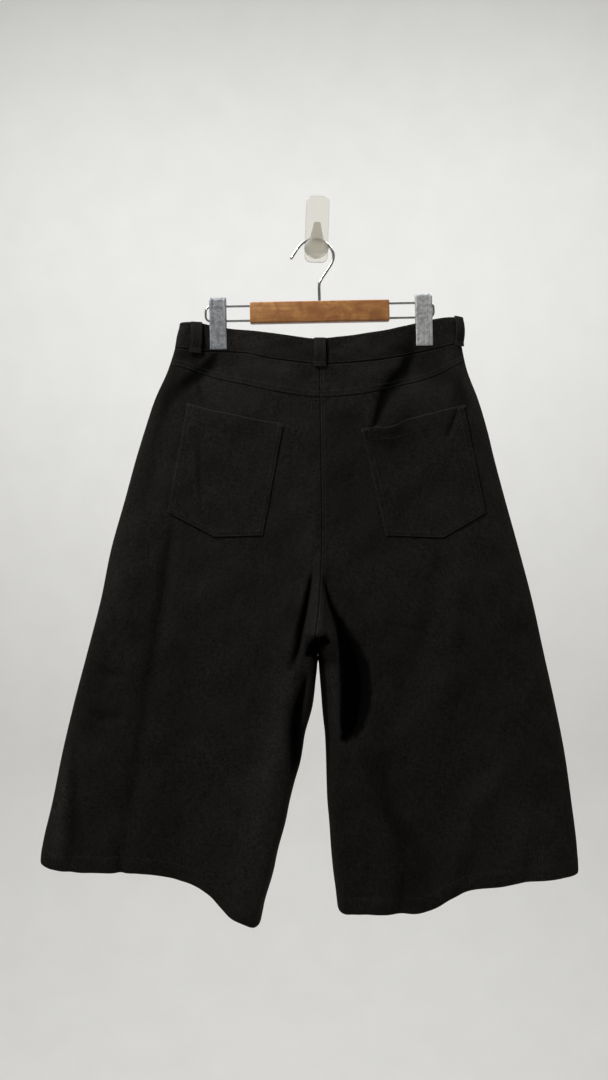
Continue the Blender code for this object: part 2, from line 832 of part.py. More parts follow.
def fly_outline():
    """A topstitched flap beside the front seam, its lower outer corner rounded off."""
    top = float(BAND_SEAM(CROTCH_X)) - FRONT_DIP - FLY_INSET
    bottom = top - FLY_LENGTH
    start = float(MIDDLE(top)) + FLY_INSET
    corner = arc((start, bottom + FLY_WIDTH), FLY_WIDTH, -90, 0)
    return [(start, top)] + corner + [(start + FLY_WIDTH, top)]


def waist_button(place, collection):
    bm = bmesh.new()
    bmesh.ops.create_cone(bm, cap_ends=True, segments=24, radius1=BUTTON_RADIUS * MM,
                          radius2=BUTTON_RADIUS * MM, depth=BUTTON_THICKNESS * MM)
    button = to_object("waist_button", to_mesh("waist_button", bm), BUTTON_LOOK, collection)
    y = place[1] + BAND_CLOTH / 2 + BUTTON_STAND + BUTTON_THICKNESS / 2
    button.location = Vector((place[0], y, place[2])) * MM
    button.rotation_euler = (math.radians(90), 0, 0)
    rim = button.modifiers.new("Rim", "BEVEL")
    rim.width = BUTTON_ROUND * MM
    rim.segments = 1
    rim.limit_method = "ANGLE"


def box(name, size, location, look, parent, collection, rounding):
    """A block with its edges rounded."""
    bm = bmesh.new()
    bmesh.ops.create_cube(bm, size=1, matrix=Matrix.Diagonal(Vector(size) * MM).to_4x4())
    thing = to_object(name, to_mesh(name, bm), look, collection, parent)
    thing.location = Vector(location) * MM
    edges = thing.modifiers.new("Edges", "BEVEL")
    edges.width = rounding * MM
    edges.segments = 2


def wire(name, route, radius, parent, collection):
    """A round wire along points in the hanger's own plane."""
    data = bpy.data.curves.new(name, "CURVE")
    data.dimensions = "3D"
    data.bevel_depth = radius * MM
    data.bevel_resolution = 2
    data.use_fill_caps = True
    spline = data.splines.new("POLY")
    spline.points.add(len(route) - 1)
    for point, (x, z) in zip(spline.points, route):
        point.co = (x * MM, 0, z * MM, 1)
    to_object(name, data, STEEL_LOOK, collection, parent)


def smooth_route(points, per_span):
    """Points along a smooth curve through a route's own points."""
    points = np.array(points, float)
    ends = np.vstack([2 * points[0] - points[1], points, 2 * points[-1] - points[-2]])
    route = []
    for before, start, end, after in zip(ends, ends[1:], ends[2:], ends[3:]):
        for f in np.arange(per_span) / per_span:
            route.append(0.5 * (2 * start + (end - before) * f
                                + (2 * before - 5 * start + 4 * end - after) * f ** 2
                                + (3 * start - before - 3 * end + after) * f ** 3))
    return route + [points[-1]]


def hanger(collection):
    frame = bpy.data.objects.new("hanger_frame", None)
    collection.objects.link(frame)
    frame.location = Vector(HOOK_TOP) * MM
    frame.rotation_euler = (0, -HANGER_LEAN, 0)
    bar_x, bar_z = BAR_CENTRE
    box("hanger_bar", BAR_SIZE, (bar_x, 0, bar_z), WOOD_LOOK, frame, collection, BAR_ROUND)
    bar_top = bar_z + BAR_SIZE[2] / 2 + SEAM
    wire("hanger_hook", [(HOOK_ROUTE[0][0], bar_top)] + smooth_route(HOOK_ROUTE, 3),
         HOOK_WIRE_RADIUS, frame, collection)
    for side, place in CLIP_PLACES.items():
        rail(side, frame, collection)
        clip(side, bar_x + place, bar_z, frame, collection)


def rail(side, frame, collection):
    """A wire bent square into a U, both ends in the end of the bar."""
    bar_x, bar_z = BAR_CENTRE
    near = BAR_SIZE[0] / 2 + SEAM
    corner = RAIL_REACH - RAIL_BEND, RAIL_SPACING / 2 - RAIL_BEND
    upper = arc(corner, RAIL_BEND, 90, 0)
    lower = [(x, -z) for x, z in reversed(upper)]
    route = [(near, RAIL_SPACING / 2)] + upper + lower + [(near, -RAIL_SPACING / 2)]
    wire("rail_" + side, [(bar_x + OUT[side] * x, bar_z + z) for x, z in route],
         RAIL_RADIUS, frame, collection)


def clip(side, x, rail_z, frame, collection):
    """Two sheet jaws with a spring between them, on the rails."""
    jaw = (CLIP_WIDTH, CLIP_PLATE, CLIP_TOP - CLIP_BOTTOM)
    jaw_y = PINCH_HALF + BAND_CLOTH / 2 + LIFT + CLIP_PLATE / 2
    for label, sign in (("front", -1), ("back", 1)):
        place = (x, sign * jaw_y, (CLIP_TOP + CLIP_BOTTOM) / 2)
        box("clip_%s_%s_jaw" % (side, label), jaw, place, ZINC_LOOK, frame, collection, CLIP_ROUND)
    spring = (SPRING_WIDTH, 2 * (jaw_y - CLIP_PLATE / 2 - LIFT), RAIL_SPACING - 2 * RAIL_RADIUS - 2 * LIFT)
    box("clip_%s_spring" % side, spring, (x, 0, rail_z), STEEL_LOOK, frame, collection, SPRING_ROUND)


def wall_hook(collection, cutters):
    frame = bpy.data.objects.new("wall_hook_frame", None)
    collection.objects.link(frame)
    frame.rotation_euler = (0, -WALL_HOOK_LEAN, 0)
    width, thickness, height = PLATE_SIZE
    corner_x, corner_z = width / 2 - PLATE_ROUND, height / 2 - PLATE_ROUND
    outline = (arc((corner_x, corner_z), PLATE_ROUND, 0, 90)
               + arc((-corner_x, corner_z), PLATE_ROUND, 90, 180)
               + arc((-corner_x, -corner_z), PLATE_ROUND, 180, 270)
               + arc((corner_x, -corner_z), PLATE_ROUND, 270, 360))
    to_object("wall_hook_plate", prism("wall_hook_plate", outline, -thickness, 0), PLASTIC_LOOK,
              collection, frame)
    side_view = prism("wall_hook_arm", ARM_SIDE, -ARM_REACH, ARM_REACH)
    # It was drawn looking along Y, and is turned to look along X.
    side_view.transform(Matrix(((0, 1, 0, 0), (1, 0, 0, 0), (0, 0, 1, 0), (0, 0, 0, 1))))
    side_view.flip_normals()
    arm = to_object("wall_hook_arm", side_view, PLASTIC_LOOK, collection, frame)
    front = ARM_FRONT + [(-x, z) for x, z in reversed(ARM_FRONT)]
    front_view = prism("wall_hook_arm_outline", front, *ARM_FRONT_DEPTHS)
    keep_inside(arm, to_cutter("wall_hook_arm_outline", front_view, cutters, frame))
    add_knob(arm, frame, cutters)


def add_knob(arm, frame, cutters):
    """The round head that keeps the hanger's wire on the arm, moulded in one with it."""
    bm = bmesh.new()
    bmesh.ops.create_uvsphere(bm, u_segments=28, v_segments=8, radius=1)
    across, thickness, height = KNOB_HALF
    bmesh.ops.scale(bm, vec=Vector((across, height, thickness)) * MM, verts=bm.verts)
    bmesh.ops.rotate(bm, matrix=Matrix.Rotation(math.radians(90), 3, "X"), verts=bm.verts)
    bmesh.ops.translate(bm, vec=Vector(KNOB_CENTRE) * MM, verts=bm.verts)
    joined = arm.modifiers.new("Knob", "BOOLEAN")
    joined.operation = "UNION"
    joined.solver = "EXACT"
    joined.object = to_cutter("wall_hook_knob", to_mesh("wall_hook_knob", bm), cutters, frame)


def main():
    for thing in list(bpy.data.objects):
        bpy.data.objects.remove(thing, do_unlink=True)
    collection = bpy.data.collections.new("culottes_on_hanger")
    cutters = bpy.data.collections.new("cutters")
    for group in (collection, cutters):
        bpy.context.scene.collection.children.link(group)
    culottes(collection, cutters)
    hanger(collection)
    wall_hook(collection, cutters)


main()
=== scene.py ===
"""Wide black twill culottes, hung back outwards by their waistband from a wooden clip hanger on a clear
adhesive wall hook.

The frame's wall is the plane y = 0 and its origin is the middle of the hook's plate. The back of the
culottes faces -Y, +Z is up, and "left" is the side at -X. Lengths in the tables and constants are
millimetres, and MM turns them into metres.
"""
import functools
import math

import bmesh
import bpy
import numpy as np
from mathutils import Matrix, Vector


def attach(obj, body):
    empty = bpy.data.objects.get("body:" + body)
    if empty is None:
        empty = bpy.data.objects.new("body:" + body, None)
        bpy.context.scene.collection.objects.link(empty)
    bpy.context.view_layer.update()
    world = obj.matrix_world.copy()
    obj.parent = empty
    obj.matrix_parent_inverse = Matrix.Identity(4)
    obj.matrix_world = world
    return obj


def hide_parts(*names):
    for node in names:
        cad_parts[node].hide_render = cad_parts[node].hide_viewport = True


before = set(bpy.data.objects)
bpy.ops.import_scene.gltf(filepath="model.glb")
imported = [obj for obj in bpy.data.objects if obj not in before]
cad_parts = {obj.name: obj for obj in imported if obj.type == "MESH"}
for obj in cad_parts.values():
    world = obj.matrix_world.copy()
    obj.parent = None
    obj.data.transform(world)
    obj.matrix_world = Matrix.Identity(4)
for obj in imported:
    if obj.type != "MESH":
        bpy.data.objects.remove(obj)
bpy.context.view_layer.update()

MM = 0.001

# ---- Cloth ---------------------------------------------------------------------------------------
CLOTH = 1.6              # heavy twill, one layer
HEM_CLOTH = 2.4          # turned up and sewn
BAND_CLOTH = 2.2         # waistband, folded double
PATCH_CLOTH = 1.2        # pockets and fly
LOOP_CLOTH = 1.6         # belt loops
SEAM = 0.3               # space between pieces that are sewn together
FOLD_SEAM = 0.04         # the same where a front meets a back: wider, and the wall shows through
LIFT = 0.3               # space under a piece that lies on another
PATCH_STAND = CLOTH / 2 + 0.05 + PATCH_CLOTH     # from the middle of the cloth to a patch's face
HEM_DEPTH = 20.0

# Level sections: height, the two side folds, the plane of the side seams, how far the back and the
# front stand off that plane, and how wide the rounding beside a fold is.
SECTIONS = [
    # z,    left,   right,  mid,  back, front, round
    (-125, -184.5, 191.0, -22.0, 9.0, 7.0, 26),
    (-165, -192.0, 196.0, -22.0, 11.0, 8.0, 30),
    (-200, -202.6, 203.4, -22.5, 14.0, 10.0, 36),
    (-240, -220.0, 218.2, -24.0, 17.0, 12.0, 44),
    (-280, -233.0, 229.9, -25.5, 19.0, 14.0, 50),
    (-320, -245.0, 239.4, -26.5, 20.0, 16.0, 54),
    (-375, -259.7, 253.7, -28.0, 21.0, 18.0, 58),
    (-445, -278.6, 272.4, -31.0, 22.0, 20.0, 62),
    (-510, -291.3, 289.0, -33.0, 24.0, 22.0, 66),
    (-580, -309.0, 304.1, -34.0, 26.0, 23.0, 70),
    (-647, -326.4, 318.7, -35.0, 27.0, 24.0, 74),
    (-715, -342.3, 331.9, -36.0, 28.0, 25.0, 78),
    (-782, -355.8, 341.4, -36.0, 28.0, 26.0, 82),
    (-850, -370.7, 349.4, -36.0, 29.0, 27.0, 86),
    (-880, -373.0, 350.8, -36.0, 29.0, 27.0, 88),
]

# Lines across the back of the waist: top edge, waistband seam and yoke seam.
WAIST = [
    # x,    top,    seam,   yoke
    (-193, -135.8, -169.7, -195.0),
    (-162, -135.2, -174.0, -204.5),
    (-136, -140.6, -174.6, -213.0),
    (-102, -145.3, -176.6, -220.5),
    (-62, -150.8, -186.0, -230.5),
    (-31, -155.2, -190.2, -235.7),
    (2, -158.6, -193.4, -239.0),
    (33, -155.4, -192.4, -237.8),
    (58, -152.1, -190.6, -235.0),
    (94, -146.3, -186.0, -227.6),
    (114, -140.6, -181.6, -222.8),
    (145, -133.4, -174.4, -214.6),
    (169, -128.6, -169.0, -205.0),
    (197, -128.4, -163.0, -189.6),
]
FRONT_DIP = 8.0          # how much lower the front of the waist hangs at its middle
FRONT_DIP_REACH = 195.0

# The rise: where the middle seam runs, down to the crotch point.
RISE = [
    # z,    x
    (-160, 2.3),
    (-243, 3.5),
    (-337, 4.7),
    (-458, 4.6),
    (-500, 2.4),
    (-530, 0.0),
    (-556, -3.0),
    (-590, 1.2),
]
CROTCH_Z = -590.0
CROTCH_ROUND = 36.0      # width of the rounding beside the inner leg at the crotch
INNER_ROUND = [
    # z,   width of that rounding
    (-590, 36),
    (-680, 30),
    (-740, 18),
    (-955, 14),
]
CROTCH_RISE = 42.0       # height over which the saddle turns under to the crotch point

# The two inner legs below the crotch point.
INNER_LEGS = [
    # z,    left,  right
    (-590, 1.2, 1.2),
    (-595, -0.2, 2.4),
    (-605, -1.2, 3.2),
    (-620, -3.0, 4.4),
    (-640, -5.0, 6.0),
    (-656, -7.4, 7.2),
    (-673, -12.0, 8.8),
    (-690, -17.0, 10.8),
    (-713, -20.6, 12.0),
    (-728, -23.2, 12.5),
    (-755, -31.0, 13.2),
    (-782, -37.8, 14.2),
    (-809, -43.2, 16.6),
    (-849, -54.0, 19.4),
    (-876, -59.6, 22.0),
    (-917, -71.6, 27.6),
    (-955, -79.6, 31.0),
]

HEM = {
    # x, z
    "left": [(-374, -864.5), (-358, -868.4), (-288, -869.6), (-221, -872.9), (-182, -881.5), (-155, -890.0),
             (-141, -900.0), (-128, -914.0), (-115, -925.6), (-101, -932.6), (-88, -939.4), (-78, -944.0)],
    "right": [(28, -925.6), (68, -924.4), (95, -925.8), (122, -927.0), (149, -918.3), (174, -902.5),
              (200, -893.0), (240, -887.9), (294, -882.2), (337, -879.3), (352, -877.6)],
}

# Folds: paths down the cloth, with the half width and how deep the cloth is pressed in there.
# A depth below nothing is a ridge.
BACK_FOLDS = {
    # x, z, width, depth
    "saddle": [(5, -446, 8, 0), (4, -490, 10, -8), (1, -522, 14, -17), (-1, -554, 17, -25),
               (0, -576, 18, -9)],
    "saddle_left": [(-6, -470, 2.5, 0), (-9, -486, 3, 6), (-13, -506, 3.5, 11), (-18, -530, 4, 13),
                    (-23, -553, 4.5, 13), (-27, -575, 5, 10), (-33, -594, 6, 5), (-40, -610, 7, 0)],
    "saddle_right": [(7, -476, 2.5, 0), (10, -494, 3, 8), (17, -517, 3.5, 12), (26, -537, 5, 13),
                     (36, -557, 8, 14), (46, -577, 12, 14), (50, -600, 15, 14), (53, -628, 17, 15),
                     (52, -656, 16, 13), (47, -684, 13, 8), (45, -712, 10, 0)],
    "inner_left": [(-12, -600, 4, 0), (-19, -628, 5, 10), (-26, -655, 7, 15), (-29, -685, 8, 15),
                   (-30, -718, 7, 10), (-36, -752, 5, 0)],
    "left_leg_ridge": [(-30, -482, 16, 0), (-46, -634, 18, -7), (-70, -770, 20, -9), (-98, -905, 22, -11),
                       (-106, -943, 22, -12)],
    "left_thigh": [(-190, -395, 8, 0), (-196, -440, 8, 6), (-201, -480, 9, 8), (-208, -530, 9, 8),
                   (-216, -580, 9, 7.5), (-225, -640, 9, 7), (-233, -700, 9, 6), (-244, -780, 10, 5),
                   (-260, -868, 10, 4)],
    "left_corner": [(-322, -706, 6, 0), (-322, -748, 8, 4), (-321, -795, 8, 4.5), (-323, -840, 8, 4),
                    (-328, -868, 8, 3)],
    "left_middle": [(-161, -458, 22, 0), (-169, -617, 24, 4), (-180, -763, 24, 5), (-188, -880, 24, 5)],
    "right_valley": [(51, -703, 10, 0), (75, -737, 12, 6), (97, -783, 13, 9), (118, -830, 14, 10),
                     (120, -883, 15, 12), (113, -928, 16, 13)],
    "right_thigh": [(157, -491, 11, 0), (136, -577, 12, 1.5), (110, -652, 12, 1.5), (94, -703, 12, 0)],
    "right_thigh_ridge": [(183, -431, 20, 0), (173, -537, 22, -4), (163, -644, 22, -5), (152, -737, 22, 0)],
    "right_diagonal": [(274, -697, 16, 0), (213, -776, 18, -5), (184, -850, 18, -8), (168, -908, 18, -8)],
    "right_corner": [(306, -737, 14, 0), (293, -830, 15, 5), (274, -888, 16, 6)],
    "left_clip": [(-138, -178, 6, 3), (-150, -196, 8, 5), (-164, -210, 9, 4.5), (-187, -228, 11, 3),
                  (-203, -252, 10, 2), (-214, -300, 10, 0)],
    "right_clip": [(129, -168, 6, 4), (123, -185, 7, 5), (116, -202, 8, 5), (103, -216, 9, 5),
                   (91, -233, 8, 5), (84, -253, 6, 5), (77, -275, 4, 4), (72, -289, 4, 0)],
    "left_pocket": [(-152, -293, 9, 0), (-155, -351, 10, 2.5), (-153, -410, 10, 0)],
}
FRONT_FOLDS = {
    "left_clip": [(-126, -182, 9, 2), (-110, -215, 10, 4), (-92, -270, 12, 0)],
    "right_clip": [(138, -178, 9, 2), (122, -212, 10, 4), (104, -268, 12, 0)],
    "crotch_left": [(-14, -500, 12, 0), (-30, -560, 14, 8), (-44, -640, 14, 7), (-58, -720, 14, 0)],
    "crotch_right": [(20, -490, 12, 0), (36, -560, 14, 8), (46, -650, 14, 7), (58, -730, 14, 0)],
    "left_leg": [(-180, -560, 22, 0), (-196, -700, 24, 6), (-214, -870, 26, 8)],
    "right_leg": [(170, -540, 22, 0), (196, -700, 24, 6), (206, -885, 26, 8)],
}

# ---- Pieces sewn on the cloth --------------------------------------------------------------------
POCKETS = {
    # x, z
    "left": [(-174.3, -246.7), (-44.7, -276.1), (-72.0, -426.2), (-137.3, -428.4), (-200.5, -395.0)],
    "right": [(58.8, -282.1), (197.1, -249.4), (226.1, -395.0), (167.3, -429.5), (90.9, -426.2)],
}
# About, for the places of stitches, wear with painted highlight and painted shade on both pockets: across,
# down the middle, down a side.
POCKET_WIDTH, POCKET_LENGTH, POCKET_SIDE = 134.0, 160.0, 150.0
FLY_WIDTH = 38.0
FLY_LENGTH = 170.0
BAND_HEIGHT = 34.0
LAP = 38.0               # how far the waistband's ends lap at the front
LAP_TURN = 14.0          # length over which the outer end steps over the inner one
BUTTON_SIDES = 48
# Half of the button's section, from its middle out: radius and height.
BUTTON_PROFILE = [(0.0, 1.9), (3.6, 1.9), (4.6, 2.2), (5.4, 3.0), (7.3, 3.0), (8.2, 2.6), (8.5, 1.9),
                  (8.5, 0.9), (8.1, 0.25), (7.2, 0.0), (0.0, 0.0)]
HOLE_PLACE = 1.3         # of the four holes, across and up from the middle
HOLE_RADIUS = 0.75
BUTTON_STAND = 0.7       # space under the button, on its sewn shank
FLY_INSET = 1.0          # from the seams beside and above it
LOOP_WIDTH = 15.5
LOOP_LENGTH = 44.0       # as cut
BAND_EASE = 1.05         # length of the band's face over its height, where it rounds its top edge
LOOP_TOP_REACH = 0.5     # how far a loop runs past the top of the waistband
LOOP_REACH = 4.0         # and past its seam
LOOP_STAND = 4.4         # how far its middle stands off
LOOP_PAINTED_SHADOW = 0.75        # how dark the painted shadow beside a loop is
LOOP_END_STAND = 1.6     # more room where its foot lies on the piece below the waistband
LOOP_UPRIGHT = 0.8       # how far it hangs upright instead of along the side fold
LOOP_ROWS = 28
LOOP_COLUMNS = 16
FINE_COLUMNS = 120       # columns of the waistband that a loop's place is measured on
# Distance of each loop's middle along the waistband, from the middle of the back.
LOOPS = {
    "belt_loop_back": 1.0,
    "belt_loop_side_left": -171.0,
    "belt_loop_side_right": 192.5,
    "belt_loop_front_left": -292.0,
    "belt_loop_front_right": 296.0,
}

# ---- Hanger --------------------------------------------------------------------------------------
# It is laid out level, from the top of its hook's bend, and then leans.
HOOK_TOP = (-1.6, -22.0, -20.4)
HANGER_LEAN = math.radians(1.1)
BAR_CENTRE = (3.0, -99.9)
BAR_SIZE = (190.0, 12.0, 29.0)
BAR_ROUNDING = 2.2
RAIL_REACH = 155.5
RAIL_SPACING = 19.9
RAIL_RADIUS = 1.5
RAIL_BEND = 7.0
HOOK_WIRE_RADIUS = 1.95
HOOK_ROUTE = [(3.0, -76.0), (3.1, -62.5), (6.0, -55.5), (14.7, -42.7), (20.6, -33.6), (23.4, -24.5),
              (21.6, -16.0), (16.4, -8.6), (8.8, -2.4), (0.0, 0.0), (-10.0, -1.6), (-19.6, -6.4),
              (-26.6, -14.4), (-35.2, -27.3)]
CLIP_PLACES = {"left": -138.7, "right": 141.9}    # from the middle of the bar
CLIP_WIDTH = 22.8
CLIP_TOP = -78.0
CLIP_BOTTOM = -148.8
CLIP_PLATE = 1.2
CLIP_EDGE = 0.28         # how far each face is rounded off at the edge of the sheet
BEAD = 0.42              # height of the bead pressed along each side of a jaw
BEAD_INSET = 2.0
BEAD_WIDTH = 0.75
LIP = 4.0                # of the bent top lip: how far down it starts, and how far it bends in
LIP_BEND = 1.9
FOOT = 3.0               # the same of the gripping edge
FOOT_BEND = 0.25
SPRING_WIDTH = 18.0
COIL_TURNS = 7
COIL_STEPS = 20          # in a turn
COIL_WIRE = 0.5          # its radius
COIL_ROOM = 5.0          # that the coil leaves free of the spring's width
PIN_RADIUS = 1.2
PIN_ROOM = 0.6
EAR_PLATE = 1.0
EAR_ROUNDING = 0.3
PINCH_HALF = BAND_CLOTH / 2 + SEAM / 2            # from the pinch plane to each layer's middle
PINCH_FLAT = 20.0        # half width held flat in the jaws
PINCH_FADE = 22.0        # how far beside the jaws the cloth is still drawn together
PINCH_FADE_DOWN = 42.0   # and how far below them
PINCH_BELOW = 3.0        # where it starts to part, below the jaws

# ---- Wall hook -----------------------------------------------------------------------------------
WALL_HOOK_LEAN = math.radians(-2.0)
PLATE_SIZE = (32.2, 92.4)
PLATE_ROUND = 9.0
# Rings from the plate's foot to its face: how far in from its outline, and y.
PLATE_RINGS = [(0.0, 0.0), (0.0, -1.5), (0.18, -2.0), (0.55, -2.38), (1.1, -2.6), (2.0, -2.6)]
# The arm's side view, from where it leaves the plate, and its half width at each height in front.
ARM_SIDE = [(-2.9, 12.0), (-6.4, -8.0), (-8.6, -18.0), (-11.6, -24.6), (-16.0, -27.2), (-29.0, -27.2),
            (-29.0, -44.0), (-20.0, -44.0), (-10.0, -40.5), (-2.9, -36.0)]
ARM_REACH = 25.0         # half the length that the side view is drawn out to, before it is cut
ARM_FRONT_DEPTHS = (-60.0, 5.0)
ARM_FRONT = [(3.6, 13.0), (5.6, 4.0), (9.0, -12.0), (10.8, -24.0), (10.8, -46.0)]
KNOB_CENTRE = (0.0, -30.0, -35.5)
KNOB_HALF = (16.6, 3.6, 15.0)
ARM_VOXEL = 0.55         # the arm and its knob are remeshed in cells of this size

# ---- Fine form of the cloth, which the solids leave out -----------------------------------------
# Sharp creases: paths like the folds above.
BACK_CREASES = {
    "right_of_crotch": [(80, -540, 3, 0), (98, -544, 3, 1.6), (122, -549, 3.5, 1.4), (146, -552, 4, 0)],
    "right_pocket_corner": [(190, -250, 3, 0), (183, -268, 4, 3.4), (176, -286, 4, 3), (170, -300, 4, 0)],
    "right_pocket_dent": [(66, -284, 4, 0), (78, -288, 5.5, 1.9), (98, -290, 6, 1.9), (118, -285, 5, 0)],
    "left_pocket_crease": [(-158, -286, 4, 0), (-158, -330, 4, 1.56), (-156, -386, 4.5, 1.69),
                           (-154, -412, 5, 0)],
    "left_hem_crease": [(-270, -832, 4, 0), (-264, -852, 4.5, 2), (-260, -868, 5, 2.4)],
    "left_inner_ridge": [(-14, -606, 5, 0), (-16, -640, 5, -3), (-24, -690, 5, -3), (-32, -735, 5, 0)],
    "under_left_clip": [(-160, -182, 4, 0), (-164, -206, 4, 2.2), (-158, -236, 5, 1.6), (-150, -262, 6, 0)],
    "under_right_clip": [(132, -176, 4, 0), (120, -196, 4, 2.4), (104, -220, 5, 2.0), (90, -246, 6, 0)],
    "right_hip_pull": [(205, -330, 10, 0), (214, -372, 11, 2.2), (232, -432, 12, 0)],
    "left_hip_pull": [(-214, -300, 10, 0), (-222, -352, 11, 2.4), (-226, -410, 12, 0)],
    "left_seat": [(-12, -290, 13, 0), (-10, -370, 15, -3), (-14, -440, 16, -3), (-25, -500, 16, 0)],
    "right_seat": [(40, -246, 20, 0), (50, -320, 26, 5), (47, -400, 26, 5), (32, -466, 18, 0)],
    "right_pocket_drop": [(190, -408, 9, 0), (186, -450, 9, -2.5), (182, -540, 10, -2.5),
                          (176, -640, 10, 0)],
    "left_ripple_high": [(-302, -596, 7, 0), (-275, -611, 7, 2.6), (-248, -608, 7, 0)],
    "left_ripple_low": [(-320, -652, 8, 0), (-286, -668, 8, 2.8), (-252, -663, 8, 0)],
}
# Hollows with steep walls and a level floor: the place, half width and depth along each.
HOLLOWS = {
    "cleft": [(-13, -583, 3, 16), (-8, -573, 6, 26), (1, -566, 9, 30), (9, -563, 7, 26),
              (12.5, -564, 3.5, 16)],
    "under_cleft": [(-3, -574, 8, 22), (1, -590, 7, 18), (1, -602, 4, 0)],
    "beside_saddle": [(28, -532, 3, 0), (31, -546, 6, 9), (37, -566, 9, 18), (42.5, -581, 12.5, 24),
                      (49, -601, 16.5, 28), (51.5, -627, 17.5, 29), (50.5, -647, 17, 29),
                      (46, -675, 14, 26), (42, -686, 11, 20), (38, -692, 7, 9)],
}
FRONT_CREASES = {
    "left_groin": [(-20, -430, 8, 0), (-60, -470, 9, 3), (-120, -500, 10, 0)],
    "right_groin": [(24, -430, 8, 0), (66, -468, 9, 3), (128, -496, 10, 0)],
}
FOLDS = {
    "back": BACK_FOLDS | BACK_CREASES,
    "front": FRONT_FOLDS | FRONT_CREASES,
}
HOLLOW_STEEPNESS = 6
FOLD_FADE = 0.45         # the share of an edge's rounding over which folds die out
# Folds, creases and hollows whose floors are painted black as shade, and the depth at which that painted
# shade is blackest.
PAINTED_SHADE_FOLDS = {
    "saddle_left": 9.0,
    "saddle_right": 10.0,
    "inner_left": 8.0,
    "left_clip": 4.0,
    "right_clip": 4.0,
    "under_left_clip": 4.0,
    "under_right_clip": 4.0,
    "right_pocket_corner": 5.0,
    "right_pocket_dent": 6.0,
    "left_pocket_crease": 6.0,
    "left_hem_crease": 6.0,
    "cleft": 16.0,
    "under_cleft": 14.0,
    "beside_saddle": 2.0,
}
